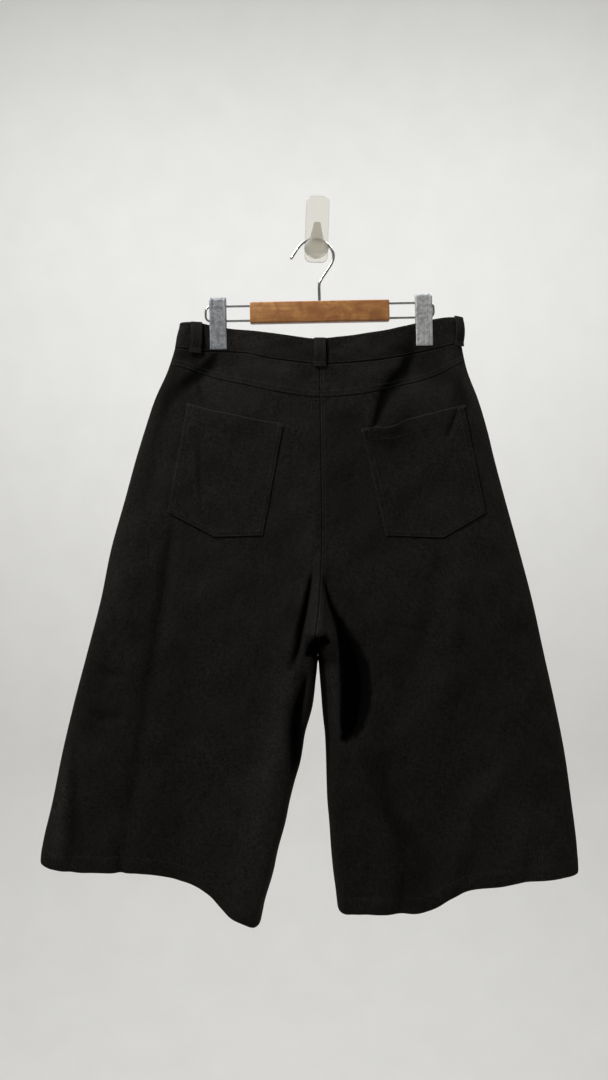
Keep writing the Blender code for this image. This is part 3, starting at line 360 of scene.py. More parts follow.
# Painted light and shade on the back: the place, half width and strength along each stroke; a strength
# below nothing paints shade.
PAINTED_LIGHT_AND_SHADE = [
    [(3, -500, 7, 0), (3, -530, 9, 0.35), (2, -552, 11, 0.5)],
    [(13, -540, 5, 0.4), (17, -560, 5, 0.7), (19, -590, 6, 0.6), (24, -630, 7, 0.4), (25, -670, 7, 0.35),
     (28, -705, 8, 0)],
    [(-128, -152, 6, 0), (-108, -158, 9, 0.35), (-85, -163, 9, 0.3), (-68, -170, 7, 0)],
    [(-54, -168, 7, 0), (-38, -172, 9, -0.35), (-18, -178, 9, -0.4), (-8, -181, 6, -0.3)],
    [(20, -172, 8, -0.2), (44, -168, 8, 0), (62, -167, 9, 0.25), (84, -165, 8, 0.1), (104, -170, 7, -0.4),
     (118, -174, 7, -1.1)],
    [(-188, -178, 8, -0.8), (-172, -180, 8, -0.9), (-158, -173, 8, -1.3)],
    [(-186, -190, 12, -0.7), (-202, -225, 15, -1.1), (-213, -262, 14, -0.7), (-224, -310, 15, -0.4),
     (-234, -370, 17, -0.4), (-242, -410, 16, 0)],
    [(-150, -192, 8, -0.6), (-160, -200, 10, -1), (-170, -216, 10, -0.8), (-176, -232, 9, -0.4)],
    [(-222, -425, 10, 0), (-232, -458, 13, -0.3), (-240, -500, 14, -0.2), (-240, -560, 14, -0.35),
     (-238, -620, 14, -0.1)],
    [(-262, -430, 9, 0), (-272, -480, 9, 0.3), (-284, -520, 9, 0)],
    [(-285, -555, 20, -0.1), (-288, -605, 24, -0.5), (-298, -655, 26, -0.65), (-312, -705, 22, -0.1)],
    [(-333, -710, 6, 0.2), (-340, -760, 8, 0.7), (-347, -850, 10, 0.6)],
    [(-26, -566, 11, 0.5), (-38, -610, 13, 0.7), (-46, -660, 14, 0.65), (-56, -720, 17, 0.7),
     (-70, -800, 18, 0.6), (-84, -905, 18, 0.5)],
    [(-96, -690, 34, 0.15), (-110, -745, 44, 0.3), (-118, -830, 48, 0.25), (-118, -905, 40, 0.3)],
    [(-4, -335, 8, 0.2), (-6, -400, 9, 0.3), (-12, -440, 9, 0.3), (-13, -480, 8, 0.3), (-22, -530, 8, 0.35),
     (-36, -575, 9, 0.2)],
    [(10, -410, 5, 0), (10, -450, 5, -0.45), (8, -500, 4, -0.4)],
    [(228, -745, 36, 0.2), (272, -815, 48, 0.45), (290, -872, 42, 0.4)],
    [(215, -805, 16, 0.1), (214, -850, 17, 0.3), (200, -880, 14, 0.2)],
    [(82, -680, 18, -0.4), (84, -740, 14, -0.5), (92, -790, 12, -0.4), (132, -842, 13, -0.65),
     (134, -905, 16, -0.5)],
    [(96, -556, 14, -0.4), (128, -568, 16, -0.35), (148, -500, 13, -0.3)],
    [(66, -590, 14, -0.15), (104, -600, 18, -0.25), (118, -650, 16, -0.1)],
    [(232, -385, 14, 0.3), (212, -412, 12, 0.35), (192, -424, 12, 0.35), (196, -455, 12, 0.25),
     (188, -500, 10, 0.1)],
    [(205, -520, 14, 0), (255, -530, 24, -0.15), (262, -600, 24, 0)],
    [(46, -300, 24, -0.1), (50, -345, 34, -0.3), (58, -420, 36, -0.3), (60, -475, 28, 0)],
    [(120, -264, 8, -0.6), (112, -282, 10, -0.8), (96, -300, 12, -0.8), (68, -292, 9, -0.7)],
    [(136, -190, 14, -0.5), (160, -206, 17, -0.85), (188, -214, 13, -0.8), (200, -248, 11, -0.5)],
    [(121, -206, 7, -0.8), (112, -217, 8, -1.2), (100, -230, 7, -1), (90, -250, 6, -0.6),
     (81, -272, 6, -0.7)],
    [(18, -264, 8, -0.5), (46, -264, 9, -0.55)],
    [(-98, -212, 17, -0.25), (-102, -246, 16, -0.15)],
    [(-46, -204, 13, 0.3), (-44, -226, 12, 0.1)],
    [(26, -210, 10, -0.25), (58, -214, 12, 0.1)],
    [(-62, -366, 12, 0.15), (-30, -378, 14, 0.25)],
    [(-12, -590, 6, 0.7), (-15, -620, 6, 0.8), (-19, -650, 5, 0.6), (-22, -675, 5, 1.1),
     (-28, -697, 5, 0.3)],
    [(-322, -745, 8, -0.2), (-321, -800, 8, -0.6), (-316, -850, 12, -0.45)],
    [(30, -500, 8, -0.2), (44, -520, 10, -0.4), (62, -546, 12, -0.35), (82, -580, 12, -0.2)],
    [(152, -440, 10, -0.35), (160, -462, 10, -0.2)],
    [(74, -322, 14, -0.35), (84, -345, 14, -0.15)],
    [(192, -240, 9, -0.4), (197, -262, 8, -0.4)],
    [(130, -150, 5, -0.6), (127, -162, 6, -1.2), (126, -176, 7, -1.7)],
    [(194, -203, 5, 0.3), (203, -224, 6, 0.7), (211, -245, 6, 0.3)],
    [(-165, -308, 7, 0), (-165, -340, 8, 0.4), (-163, -370, 8, 0.3), (-162, -395, 7, 0)],
    [(-225, -560, 9, -0.1), (-212, -560, 8, -0.3), (-214, -620, 8, -0.25), (-220, -680, 8, 0)],
]
SEAM_PAINTED_SHADE = 1.3         # how far painted shade reaches from a seam
# Width of the painted shade strip along each inner leg.
INNER_PAINTED_SHADE = {
    # z, width
    "left": [(-590, 2.6), (-630, 1.4), (-660, 0)],
    "right": [(-590, 4.2), (-640, 4.2), (-690, 3.2), (-740, 1.6), (-800, 0)],
}
# How far a fold leans over to -X, as a share of its depth: its wall on that side stands steeper.
LEANS = {
    "saddle_left": -0.15,
    "inner_left": 0.25,
    "beside_saddle": 0.14,
}

# Cells of the fine sheets, and the distances of the extra rows beside a sewn edge.
COLUMNS = {"back": 144, "front": 62}
SIDE_CROWDING = 1.35
MIDDLE_CROWDING = 1.6
YOKE_ROWS = 16
YOKE_LENGTH = 45.0       # about, and the same for the hip, for the rows beside their seams
HIP_LENGTH = 350.0
HIP_ROWS = {"back": 100, "front": 46}
HIP_CROWDING = 1.3
LEG_ROWS = {"back": 92, "front": 40}
LEG_CROWDING = 1.35
HEM_ROWS = 8
BAND_ROWS = 14
LAP_COLUMNS = 14
EDGE_ROWS = (0.5, 1.1, 2.0, 3.2, 5.0)
POCKET_CELLS = 66, 74
FLY_CELLS = 24, 70

# Sewing
SEAM_GROOVE = 0.45       # how far a seam draws the cloth in
GROOVE_WIDTH = 1.0
FELL = 0.45              # how far the folded layers under a felled seam lift it
FELL_WIDTH = 9.0
PUCKER = 0.28
PUCKER_LENGTH = 7.0
PUCKER_REACH = 5.0
PUCKER_DRIFT = 47.0      # length over which the ripples crowd and spread
EDGE_FADE = 26.0         # the relief dies out this far from the side folds
BOX_TACK = (-8.0, 3.6, -259.0, -246.5)   # its two sides in x and in z
STITCH_PITCH = 3.1
STITCH_LENGTH = 2.5
STITCH_WIDTH = 0.62
STITCH_PROUD = 0.42
ROW_NEAR, ROW_FAR = 2.0, 8.0    # the two rows of topstitching, from their edge
RISE_ROWS = 1.8, 5.2            # the two beside the seams of the rise

MOUTH_HEM = 17.0         # the row of stitches below a pocket's mouth
# How far a pocket's mouth sags below the straight line, and stands off the seat, along its width.
MOUTHS = {
    # along, sag, gape
    "left": [(0.0, 0.0, 0.0), (0.15, 2.6, 0.8), (0.5, 2.4, 1.4), (0.8, 1.4, 1.0), (1.0, 0.0, 0.0)],
    "right": [(0.0, 0.0, 0.0), (0.1, 1.4, 1.6), (0.28, 6.4, 5.0), (0.45, 2.6, 3.0), (0.7, 1.2, 1.0),
              (1.0, 0.0, 0.0)],
}
GAPE_DEPTH = 34.0        # how far down the pocket the gape dies out

# ---- Finishes, as sRGB hex -----------------------------------------------------------------------
TWILL_DARK = "#0a0908"
TWILL_LIGHT = "#262422"
TWILL_WASHED = "#1f1d1b"
TWILL_PALE = "#3c3a37"
# Painted shade: the black that deep folds, seams, inner legs and the band beside the loops are painted
# towards.
TWILL_PAINTED_SHADE = "#030303"
TWILL_SHEEN = "#8f8a84"
THREAD_DARK = "#1b1a18"
THREAD_LIGHT = "#353330"
BEECH_DARK = "#8f5b2e"
BEECH_LIGHT = "#b68046"
BEECH_GRAIN = "#8a5527"
BEECH_FLECK = "#6a3d18"
STEEL_DARK = "#8f8f8c"
STEEL_LIGHT = "#c4c4c0"
# The left clip's colours are darker than the right one's.
ZINC = {
    "left": ("#6f7277", "#989ba0"),
    "right": ("#969899", "#c6c8c8"),
}
# Its face, its rim, and how rough it is at its smoothest and roughest.
POLYCARBONATE = {
    "clear": ("#f6f4ed", "#6f6b62", 0.05, 0.2),
    "frosted": ("#cfcbbf", "#cfcbbf", 0.4, 0.65),
}
BUTTON_DARK = "#171614"
BUTTON_LIGHT = "#24221f"
PAINT_DARK = "#d6d4d0"
PAINT_LIGHT = "#dedcd8"

# ---- Stage, light and camera, in metres ----------------------------------------------------------
CYC_FLOOR = -2.2
CYC_WALL = 2.6
CYC_BEND = 0.9
CYC_NEAR = 4.0
CYC_HALF = 6.0
CYC_TOP = 5.0
LIGHTS = [
    # name,   place,               target,              size, watts, colour
    ("key", (-0.80, -0.85, 0.85), (0.0, -0.05, -0.45), 0.26, 20.4, "#fffdf8"),
    ("fill", (1.6, -1.9, -0.8), (0.0, -0.05, -0.6), 1.6, 2.5, "#f6f8ff"),
    ("wall_left", (-1.2, 0.2, 1.6), (-0.8, 2.6, -2.6), 1.4, 56.5, "#f8fbff"),
    ("wall_right", (1.2, 0.2, 1.6), (0.8, 2.6, -2.6), 1.4, 56.5, "#f8fbff"),
]
ROOM_COLOUR = "#e9e9e6"
ROOM_STRENGTH = 0.25
# The eye is level with the middle of the picture and looks straight at the wall.
CAMERA_PLACE = (-0.018, -1.285, -0.4311)
CAMERA_LENS = 30.86


# ---- Easing --------------------------------------------------------------------------------------
def curve(points):
    """A smooth function through (position, value) points, held level past both ends."""
    at, value = (np.array(column, float) for column in zip(*sorted(points)))
    slope = np.gradient(value, at)

    def read(position):
        position = np.clip(position, at[0], at[-1])
        first = np.clip(np.searchsorted(at, position) - 1, 0, len(at) - 2)
        step = at[first + 1] - at[first]
        f = (position - at[first]) / step
        return (value[first] * (1 + 2 * f) * (1 - f) ** 2
                + slope[first] * step * f * (1 - f) ** 2
                + value[first + 1] * f * f * (3 - 2 * f)
                - slope[first + 1] * step * f * f * (1 - f))
    return read


def column(table, number, key=0):
    return curve([(row[key], row[number]) for row in table])


def smooth(f):
    """Nothing below 0, one above 1, easy at both ends."""
    f = np.clip(f, 0, 1)
    return f * f * (3 - 2 * f)


def raised(distance, width, soft=1.4):
    """One between 0 and width, easing off over soft at both ends."""
    return smooth(distance / soft + 0.5) * smooth((width - distance) / soft + 0.5)


def groove(distance, width=GROOVE_WIDTH):
    return np.exp(-(distance / width) ** 2)


def swell(q):
    """A rounded edge: nothing at q = 0, rising steeply, level from q = 1."""
    return np.sqrt(np.clip(1 - (1 - np.clip(q, 0, 1)) ** 2.2, 0, 1))


def fractions(count, start_crowding, end_crowding):
    """Steps from 0 to 1 that crowd towards their two ends."""
    s = np.linspace(0, 1, count + 1)
    return s ** start_crowding / (s ** start_crowding + (1 - s) ** end_crowding)


def steps_across(face, count=None):
    """The steps of a face's columns, from its side fold to the middle."""
    return fractions(count or COLUMNS[face], SIDE_CROWDING, MIDDLE_CROWDING)


# ---- The garment's lines -------------------------------------------------------------------------
INNER_ROUNDING = column(INNER_ROUND, 1)
SIDE = {"left": column(SECTIONS, 1), "right": column(SECTIONS, 2)}
MID, BACK, FRONT, ROUND = (column(SECTIONS, number) for number in (3, 4, 5, 6))
MIDDLE = column(RISE, 1)
INNER = {"left": column(INNER_LEGS, 1), "right": column(INNER_LEGS, 2)}
INNER_PAINTED_SHADE_WIDTH = {half: column(INNER_PAINTED_SHADE[half], 1) for half in INNER_PAINTED_SHADE}
TOP, BAND_SEAM, YOKE_SEAM = (column(WAIST, number) for number in (1, 2, 3))
HEM_LINE = {half: column(HEM[half], 1) for half in HEM}
CROTCH_X = float(MIDDLE(CROTCH_Z))
SIGN = {"back": -1.0, "front": 1.0}
OUT = {"left": -1.0, "right": 1.0}


def leaned(x, z):
    """A point of the level hanger where it lies once the hanger leans."""
    cos, sin = math.cos(HANGER_LEAN), math.sin(HANGER_LEAN)
    return HOOK_TOP[0] + x * cos - z * sin, HOOK_TOP[2] + x * sin + z * cos


# Middle and lower edge of each pair of jaws
JAWS = [leaned(BAR_CENTRE[0] + place, CLIP_BOTTOM) for place in CLIP_PLACES.values()]


def dip(face, x):
    """How far the front hangs lower than the back at x."""
    if face == "back":
        return 0.0 * x
    across = np.clip(1 - ((x - CROTCH_X) / FRONT_DIP_REACH) ** 2, 0, 1)
    return FRONT_DIP * across ** 2


def inner_edge(half, z):
    """The piece's edge at the middle: the rise above the crotch point, the inner leg below."""
    return np.where(z >= CROTCH_Z, MIDDLE(z), INNER[half](z))


def level_line(name, face, half):
    """One of the lines that run across a piece, as a function of x."""
    waist = {"top": TOP, "band": BAND_SEAM, "yoke": YOKE_SEAM}
    if name in waist:
        return lambda x: waist[name](x) - dip(face, x)
    if name == "crotch":
        return lambda x: np.full_like(x, CROTCH_Z)
    return lambda x: HEM_LINE[half](x) + (HEM_DEPTH if name == "hem_fold" else 0)


def lines(face, half, stretches):
    """The heights of a piece's rows, each a function of x, from its top edge down.

    A stretch is the line where it starts, the line where it ends and the steps between them.
    """
    def between(upper, lower, f):
        return lambda x: upper(x) * (1 - f) + lower(x) * f

    result = []
    for *ends, steps in stretches:
        upper, lower = (level_line(name, face, half) for name in ends)
        result += [between(upper, lower, f) for f in (steps[1:] if result else steps)]
    return result


def meet(edge, line, start):
    """The x, in a list of one, where a line across meets an edge that runs down the garment."""
    x = np.array([start])
    for _ in range(13):
        x = edge(line(x))
    return x


# ---- The cloth's form ----------------------------------------------------------------------------
def press(paths, x, z, steepness=2):
    """How deep the folds press the cloth in at each point; a steeper one has a more level floor."""
    total = np.zeros_like(x)
    for path in paths:
        nearest = np.full_like(x, np.inf)
        depth = np.zeros_like(x)
        for start, end in zip(path, path[1:]):
            run, rise = end[0] - start[0], end[1] - start[1]
            f = np.clip(((x - start[0]) * run + (z - start[1]) * rise) / (run ** 2 + rise ** 2), 0, 1)
            away = np.hypot(x - start[0] - f * run, z - start[1] - f * rise)
            width = start[2] + f * (end[2] - start[2])
            here = (start[3] + f * (end[3] - start[3])) * np.exp(-(away / width) ** steepness)
            depth = np.where(away < nearest, here, depth)
            nearest = np.minimum(away, nearest)
        total += depth
    return total


def pressed_by(name, x, z):
    """How deep one fold, crease or hollow presses the back in."""
    if name in HOLLOWS:
        return press([HOLLOWS[name]], x, z, HOLLOW_STEEPNESS)
    return press([FOLDS["back"][name]], x, z)


def depth(face, half, x, z):
    """The y of the middle of the cloth on one face, on one leg below the crotch point."""
    sign = SIGN[face]
    from_side = np.minimum(x - SIDE["left"](z), SIDE["right"](z) - x) / ROUND(z)
    above = z >= CROTCH_Z
    across = np.where(above, np.abs(x - CROTCH_X), OUT[half] * (x - INNER[half](z)))
    up = np.where(above, z - CROTCH_Z, 0.0)
    from_middle = np.where(across < 0, 0, np.hypot(across / INNER_ROUNDING(z), up / CROTCH_RISE))
    stand = (BACK if face == "back" else FRONT)(z)
    pressed = press(FOLDS[face].values(), x, z)
    if face == "back":
        pressed = pressed + press(HOLLOWS.values(), x, z, HOLLOW_STEEPNESS)
    free = sign * stand * swell(from_side) * swell(from_middle)
    free = free - sign * pressed * smooth(np.minimum(from_side, from_middle) / FOLD_FADE)
    for jaw_x, jaw_z in JAWS:
        beside = np.clip(np.abs(x - jaw_x) - PINCH_FLAT, 0, None) / PINCH_FADE
        below = np.clip(jaw_z - PINCH_BELOW - z, 0, None) / PINCH_FADE_DOWN
        held = np.exp(-beside ** 2 - below ** 2)
        free = free + held * (sign * PINCH_HALF - free)
    return MID(z) + free


def pucker(along, distance):
    """The ripple that a row of stitches draws up beside it."""
    ripple = np.sin(along * math.tau / PUCKER_LENGTH + 1.6 * np.sin(along * math.tau / PUCKER_DRIFT))
    return PUCKER * ripple * np.exp(-(distance / PUCKER_REACH) ** 2)


def waves(seed, shortest, longest, height):
    """A gentle unevenness: waves of many lengths and directions."""
    rng = np.random.default_rng(seed)
    lengths = np.geomspace(shortest, longest, 12)
    angles = rng.uniform(0, math.tau, len(lengths))
    phases = rng.uniform(0, math.tau, len(lengths))

    def read(x, z):
        total = np.zeros_like(x)
        for length, angle, phase in zip(lengths, angles, phases):
            on_wave = (x * math.cos(angle) + z * math.sin(angle)) * math.tau / length
            total += length * np.sin(on_wave + phase)
        return total * height / lengths.sum() * 2
    return read


HANDLING = {
    "back": waves(4, 18.0, 130.0, 2.0),
    "front": waves(9, 34.0, 180.0, 1.6),
    "band": waves(12, 18.0, 70.0, 1.0),
}


def relief(face, half, x, z):
    """How far seams, hems and handling lift the cloth off its main form."""
    from_side = np.minimum(x - SIDE["left"](z), SIDE["right"](z) - x)
    from_middle = np.where(z >= CROTCH_Z, EDGE_FADE, OUT[half] * (x - INNER[half](z)))
    drop = dip(face, x)
    below_band = BAND_SEAM(x) - drop - z
    below_yoke = YOKE_SEAM(x) - drop - z
    above_hem = z - HEM_LINE[half](x)
    from_rise = x - MIDDLE(z)
    lift = HANDLING[face](x, z) * smooth(below_band / 20)
    rise = smooth((z - CROTCH_Z) / 20) * smooth(below_band / 4)
    lift += rise * (FELL * raised(from_rise, FELL_WIDTH) - SEAM_GROOVE * groove(from_rise)
                    + pucker(z, from_rise - ROW_NEAR))
    lift += pucker(x, below_band - ROW_NEAR) * 0.8 - SEAM_GROOVE * groove(below_band)
    if face == "back":
        lift += FELL * raised(-below_yoke, FELL_WIDTH) - SEAM_GROOVE * groove(below_yoke)
        lift += pucker(x, below_yoke + ROW_NEAR)
    lift += FELL * raised(above_hem + 2, HEM_DEPTH + 2) - SEAM_GROOVE * groove(above_hem - HEM_DEPTH)
    lift += pucker(x, above_hem - HEM_DEPTH) * 1.2
    return lift * smooth(from_side / EDGE_FADE) * smooth(from_middle / EDGE_FADE)


def finished(face, half, x, z):
    """The y of the middle of the finished cloth."""
    return depth(face, half, x, z) + SIGN[face] * relief(face, half, x, z)


def leaning(face, half, x, z):
    """How far leaning folds carry the cloth sideways."""
    if face == "front":
        return np.zeros_like(x)
    shift = -sum(share * pressed_by(name, x, z) for name, share in LEANS.items())
    across = np.where(z >= CROTCH_Z, np.abs(x - CROTCH_X), OUT[half] * (x - INNER[half](z)))
    return shift * smooth(across / CROTCH_ROUND * 1.6)


def painted_shade_amount(face, half, x, z):
    """How far the cloth is painted black as shade: down in deep folds, along seams and inside the legs."""
    below_band = BAND_SEAM(x) - dip(face, x) - z
    from_rise = np.where(z >= CROTCH_Z, np.abs(x - MIDDLE(z)), np.inf)
    painted_dark = smooth(1 - np.minimum(below_band, from_rise) / SEAM_PAINTED_SHADE)
    if face == "front":
        return painted_dark
    painted_dark = np.maximum(painted_dark, smooth(1 - np.abs(YOKE_SEAM(x) - z) / SEAM_PAINTED_SHADE) * 0.8)
    for name, full in PAINTED_SHADE_FOLDS.items():
        painted_dark = np.maximum(painted_dark, smooth(pressed_by(name, x, z) / full))
    inside = OUT[half] * (x - INNER[half](z))
    strip = smooth(2.2 - inside / np.maximum(INNER_PAINTED_SHADE_WIDTH[half](z), 0.5))
    return np.where(z < CROTCH_Z, np.maximum(painted_dark, strip), painted_dark)


def toned(face, x, z):
    """Painted light and shade on the back, in steps of a doubling: above nothing painted lighter, below
    nothing painted darker.
    """
    return press(PAINTED_LIGHT_AND_SHADE, x, z) if face == "back" else np.zeros_like(x)


def on_cloth(face, half, x, z):
    """Points of the middle of the cloth at each x and z, and their outward directions."""
    step = 0.4
    slope_x = (finished(face, half, x + step, z) - finished(face, half, x - step, z)) / (2 * step)
    slope_z = (finished(face, half, x, z + step) - finished(face, half, x, z - step)) / (2 * step)
    sign = SIGN[face]
    normal = np.stack([-sign * slope_x, np.full_like(x, sign), -sign * slope_z], axis=-1)
    normal /= np.linalg.norm(normal, axis=-1, keepdims=True)
    place = x + leaning(face, half, x, z), finished(face, half, x, z), z
    return np.stack(place, axis=-1), normal


def skin(face, half, rows, steps):
    """Points of the middle of the cloth and their outward directions, a row for each line."""
    xs, zs = [], []
    for line in rows:
        z = line(np.full_like(steps, OUT[half] * 100.0))
        for _ in range(25):
            side = SIDE[half](z)
            x = side + steps * (inner_edge(half, z) - side)
            z = line(x)
        xs.append(x)
        zs.append(z)
    x, z = np.array(xs), np.array(zs)
    points, normal = on_cloth(face, half, x, z)

    def sideways(edge, out):
        slope = (edge(z + 1) - edge(z - 1)) / 2
        return np.stack([0 * x + out, 0 * x, -out * slope], axis=-1)

    normal[:, steps <= 0] = sideways(SIDE[half], OUT[half])[:, steps <= 0]
    at_edge = (steps >= 1)[None, :]
    at_inner = at_edge & (z < CROTCH_Z - 0.5)
    normal[at_inner] = sideways(INNER[half], -OUT[half])[at_inner]
    normal[at_edge & (np.abs(z - CROTCH_Z) <= 0.5)] = (0, 0, -1)
    normal /= np.linalg.norm(normal, axis=-1, keepdims=True)
    return points, normal


# ---- Meshes --------------------------------------------------------------------------------------
def placed(name, data):
    """A new object of this data in the scene, at the origin."""
    thing = bpy.data.objects.new(name, data)
    bpy.context.scene.collection.objects.link(thing)
    return thing


def meshed(name, bm):
    """The mesh of a bmesh, which is freed."""
    mesh = bpy.data.meshes.new(name)
    bm.to_mesh(mesh)
    bm.free()
    return mesh


def dressed(mesh, finish, sharp):
    """Smooth shading, sharp past an angle, and the mesh's one material."""
    mesh.shade_smooth()
    mesh.set_sharp_from_angle(angle=math.radians(sharp))
    mesh.materials.clear()
    mesh.materials.append(finish)
    return mesh


def cleaned(mesh, distance):
    """Merges the points that lie closer than this and turns the faces outwards."""
    bm = bmesh.new()
    bm.from_mesh(mesh)
    bmesh.ops.remove_doubles(bm, verts=bm.verts, dist=distance * MM)
    bmesh.ops.recalc_face_normals(bm, faces=bm.faces)
    bm.to_mesh(mesh)
    bm.free()


def solid(name, points, faces, finish, sharp):
    """A mesh object from millimetre points, its faces turned outwards."""
    mesh = bpy.data.meshes.new(name)
    mesh.from_pydata((np.asarray(points) * MM).tolist(), [], [tuple(face) for face in faces])
    mesh.update()
    bm = bmesh.new()
    bm.from_mesh(mesh)
    if bm.calc_volume(signed=True) < 0:
        bmesh.ops.reverse_faces(bm, faces=bm.faces)
    bm.to_mesh(mesh)
    bm.free()
    return placed(name, dressed(mesh, finish, sharp))


def ring_faces(rings, count):
    """The faces between rings of count points each."""
    return [(low + i, low + (i + 1) % count, low + count + (i + 1) % count, low + count + i)
            for low in range(0, (rings - 1) * count, count) for i in range(count)]


def combined(thing, name, bm, operation):
    """Adds a Boolean with another shape, and gives back that shape's object."""
    other = placed(name, meshed(name, bm))
    change = thing.modifiers.new(name, "BOOLEAN")
    change.operation = operation
    change.solver = "EXACT"
    change.object = other
    return other


def made_plain(thing, *others):
    """The object with its modifiers' result as its own mesh; the other objects are done with."""
    bpy.context.view_layer.update()
    evaluated = thing.evaluated_get(bpy.context.evaluated_depsgraph_get())
    mesh = bpy.data.meshes.new_from_object(evaluated)
    name = thing.name
    mesh.transform(thing.matrix_world)
    thing.modifiers.clear()
    for done in (thing, *others):
        bpy.data.objects.remove(done)
    mesh.name = name
    return placed(name, mesh)


def declare(thing, node_name):
    """The piece rides on the root body and stands for a solid, which is hidden."""
    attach(thing, "root")
    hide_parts(node_name)


# ---- Cut pieces of cloth -------------------------------------------------------------------------
def arc_lengths(points, axis):
    """Distances along the rows or the columns of a sheet of points, from their first point."""
    steps = np.linalg.norm(np.diff(points, axis=axis), axis=-1)
    total = np.cumsum(steps, axis=axis)
    return np.concatenate([np.zeros_like(np.take(total, [0], axis=axis)), total], axis=axis)


def wall(name, outer, inner, finish, sharp=50, **layers):
    """A wall lofted between an outer and an inner sheet of points, closed round its edge.

    The layers are values at the sheets' points: wear with painted highlight, painted shade, and painted
    light and shade.
    """
    rows, columns = outer.shape[:2]
    count = rows * columns
    index = np.arange(count).reshape(rows, columns)
    corners = index[:-1, :-1], index[:-1, 1:], index[1:, 1:], index[1:, :-1]
    quads = np.stack(corners, axis=-1).reshape(-1, 4)
    rim = np.concatenate([index[0, :], index[1:, -1], index[-1, -2::-1], index[-2:0:-1, 0]])
    after = np.roll(rim, -1)
    edge = np.stack([rim, rim + count, after + count, after], axis=-1)
    faces = np.concatenate([quads, quads[:, ::-1] + count, edge]).tolist()
    points = np.concatenate([outer.reshape(-1, 3), inner.reshape(-1, 3)])
    thing = solid(name, points, faces, finish, sharp)
    # The cloth's own map in metres: u along the weft and v along the warp.
    flat = np.stack([arc_lengths(outer, 1), arc_lengths(outer, 0)], axis=-1).reshape(-1, 2) * MM
    used = np.empty(len(thing.data.loops), int)
    thing.data.loops.foreach_get("vertex_index", used)
    cut = thing.data.uv_layers.new(name="cut")
    cut.data.foreach_set("uv", flat[used % count].ravel())
    for layer in ("wear", "deep", "tone"):
        values = np.ravel(layers.get(layer, np.zeros(count))).astype(float)
        made = thing.data.attributes.new(layer, "FLOAT", "POINT")
        made.data.foreach_set("value", np.tile(values, 2))
    return thing


def cut_to(points, flat=None):
    """What a sheet of points was cut to, in metres: its width and length, and its area."""
    width, length = flat or (arc_lengths(points, 1).max() * MM, arc_lengths(points, 0).max() * MM)
    across = points[:-1, 1:] - points[:-1, :-1]
    down = points[1:, :-1] - points[:-1, :-1]
    area = np.linalg.norm(np.cross(across, down), axis=-1).sum() * MM * MM
    return (width, length), float(np.clip(area, 0.3 * width * length, width * length))


def cloth_piece(name, outer, inner, rests_on, flat, area=None, held="hung", **layers):
    """One cut piece of cloth, which stands for the solid of that name."""
    thing = wall(name + "_cloth", outer, inner, twill(), **layers)
    declare(thing, name)


def trimmed(points, face, half, has_hem):
    """The same points with half a seam's space left along each sewn edge."""
    points = points.copy()
    half_seam, half_fold = SEAM / 2, SIGN[face] * FOLD_SEAM / 2
    crotch = points[:, -1, 2] <= CROTCH_Z + 0.5
    rise = points[:, -1, 2] >= CROTCH_Z - 0.5
    points[:, 0, 1] += half_fold
    points[crotch, -1, 1] += half_fold
    points[rise, -1, 0] += OUT[half] * half_seam
    points[0, :, 2] -= half_seam
    if not has_hem:
        points[-1, :, 2] += half_seam
    return points


def with_edge_rows(fractions_down, length, at_end=False):
    """More rows close to the sewn edge that a stretch starts or ends at."""
    extra = np.array(EDGE_ROWS) / length
    if at_end:
        extra = 1 - extra
    return np.unique(np.concatenate([fractions_down, extra]))


def panel(name, face, half, stretches, has_hem=True):
    """A leg or a yoke."""
    points, normal = skin(face, half, lines(face, half, stretches), steps_across(face))
    points = trimmed(points, face, half, has_hem)
    x, z = points[..., 0], points[..., 2]
    above_hem = z - HEM_LINE[half](x)
    wear = np.zeros_like(x)
    thickness = np.full_like(x, CLOTH)
    if has_hem:
        thickness += (HEM_CLOTH - CLOTH) * smooth((HEM_DEPTH - above_hem) / 2 + 0.5)
        thickness -= 1.0 * smooth(1 - above_hem / 1.6)
        # Wear with a painted highlight along the hem's folded edge.
        wear = 0.35 * smooth(1 - above_hem / 2.2)
    half_wall = normal * thickness[..., None] / 2
    cloth_piece(name, points + half_wall, points - half_wall, ["waistband"], *cut_to(points), wear=wear,
                deep=painted_shade_amount(face, half, x, z), tone=toned(face, x, z))


# ---- Pieces sewn on the cloth --------------------------------------------------------------------
def pocket_place(half, s, t):
    """x and z on a pocket: s across its width, t from its mouth down to its point."""
    corners = POCKETS[half] if half == "left" else [POCKETS[half][i] for i in (1, 0, 4, 3, 2)]
    top_out, top_in, low_in, point, low_out = (np.array(corner) for corner in corners)
    top = top_out + (top_in - top_out) * s[..., None]
    top[..., 1] -= column(MOUTHS[half], 1)(s if half == "left" else 1 - s)
    kink = (point[0] - low_out[0]) / (low_in[0] - low_out[0])
    to_point = (s / kink)[..., None]
    to_inside = ((s - kink) / (1 - kink))[..., None]
    low = np.where(to_point < 1, low_out + (point - low_out) * to_point,
                   point + (low_in - point) * to_inside)
    place = top + (low - top) * t[..., None]
    return place[..., 0], place[..., 1]


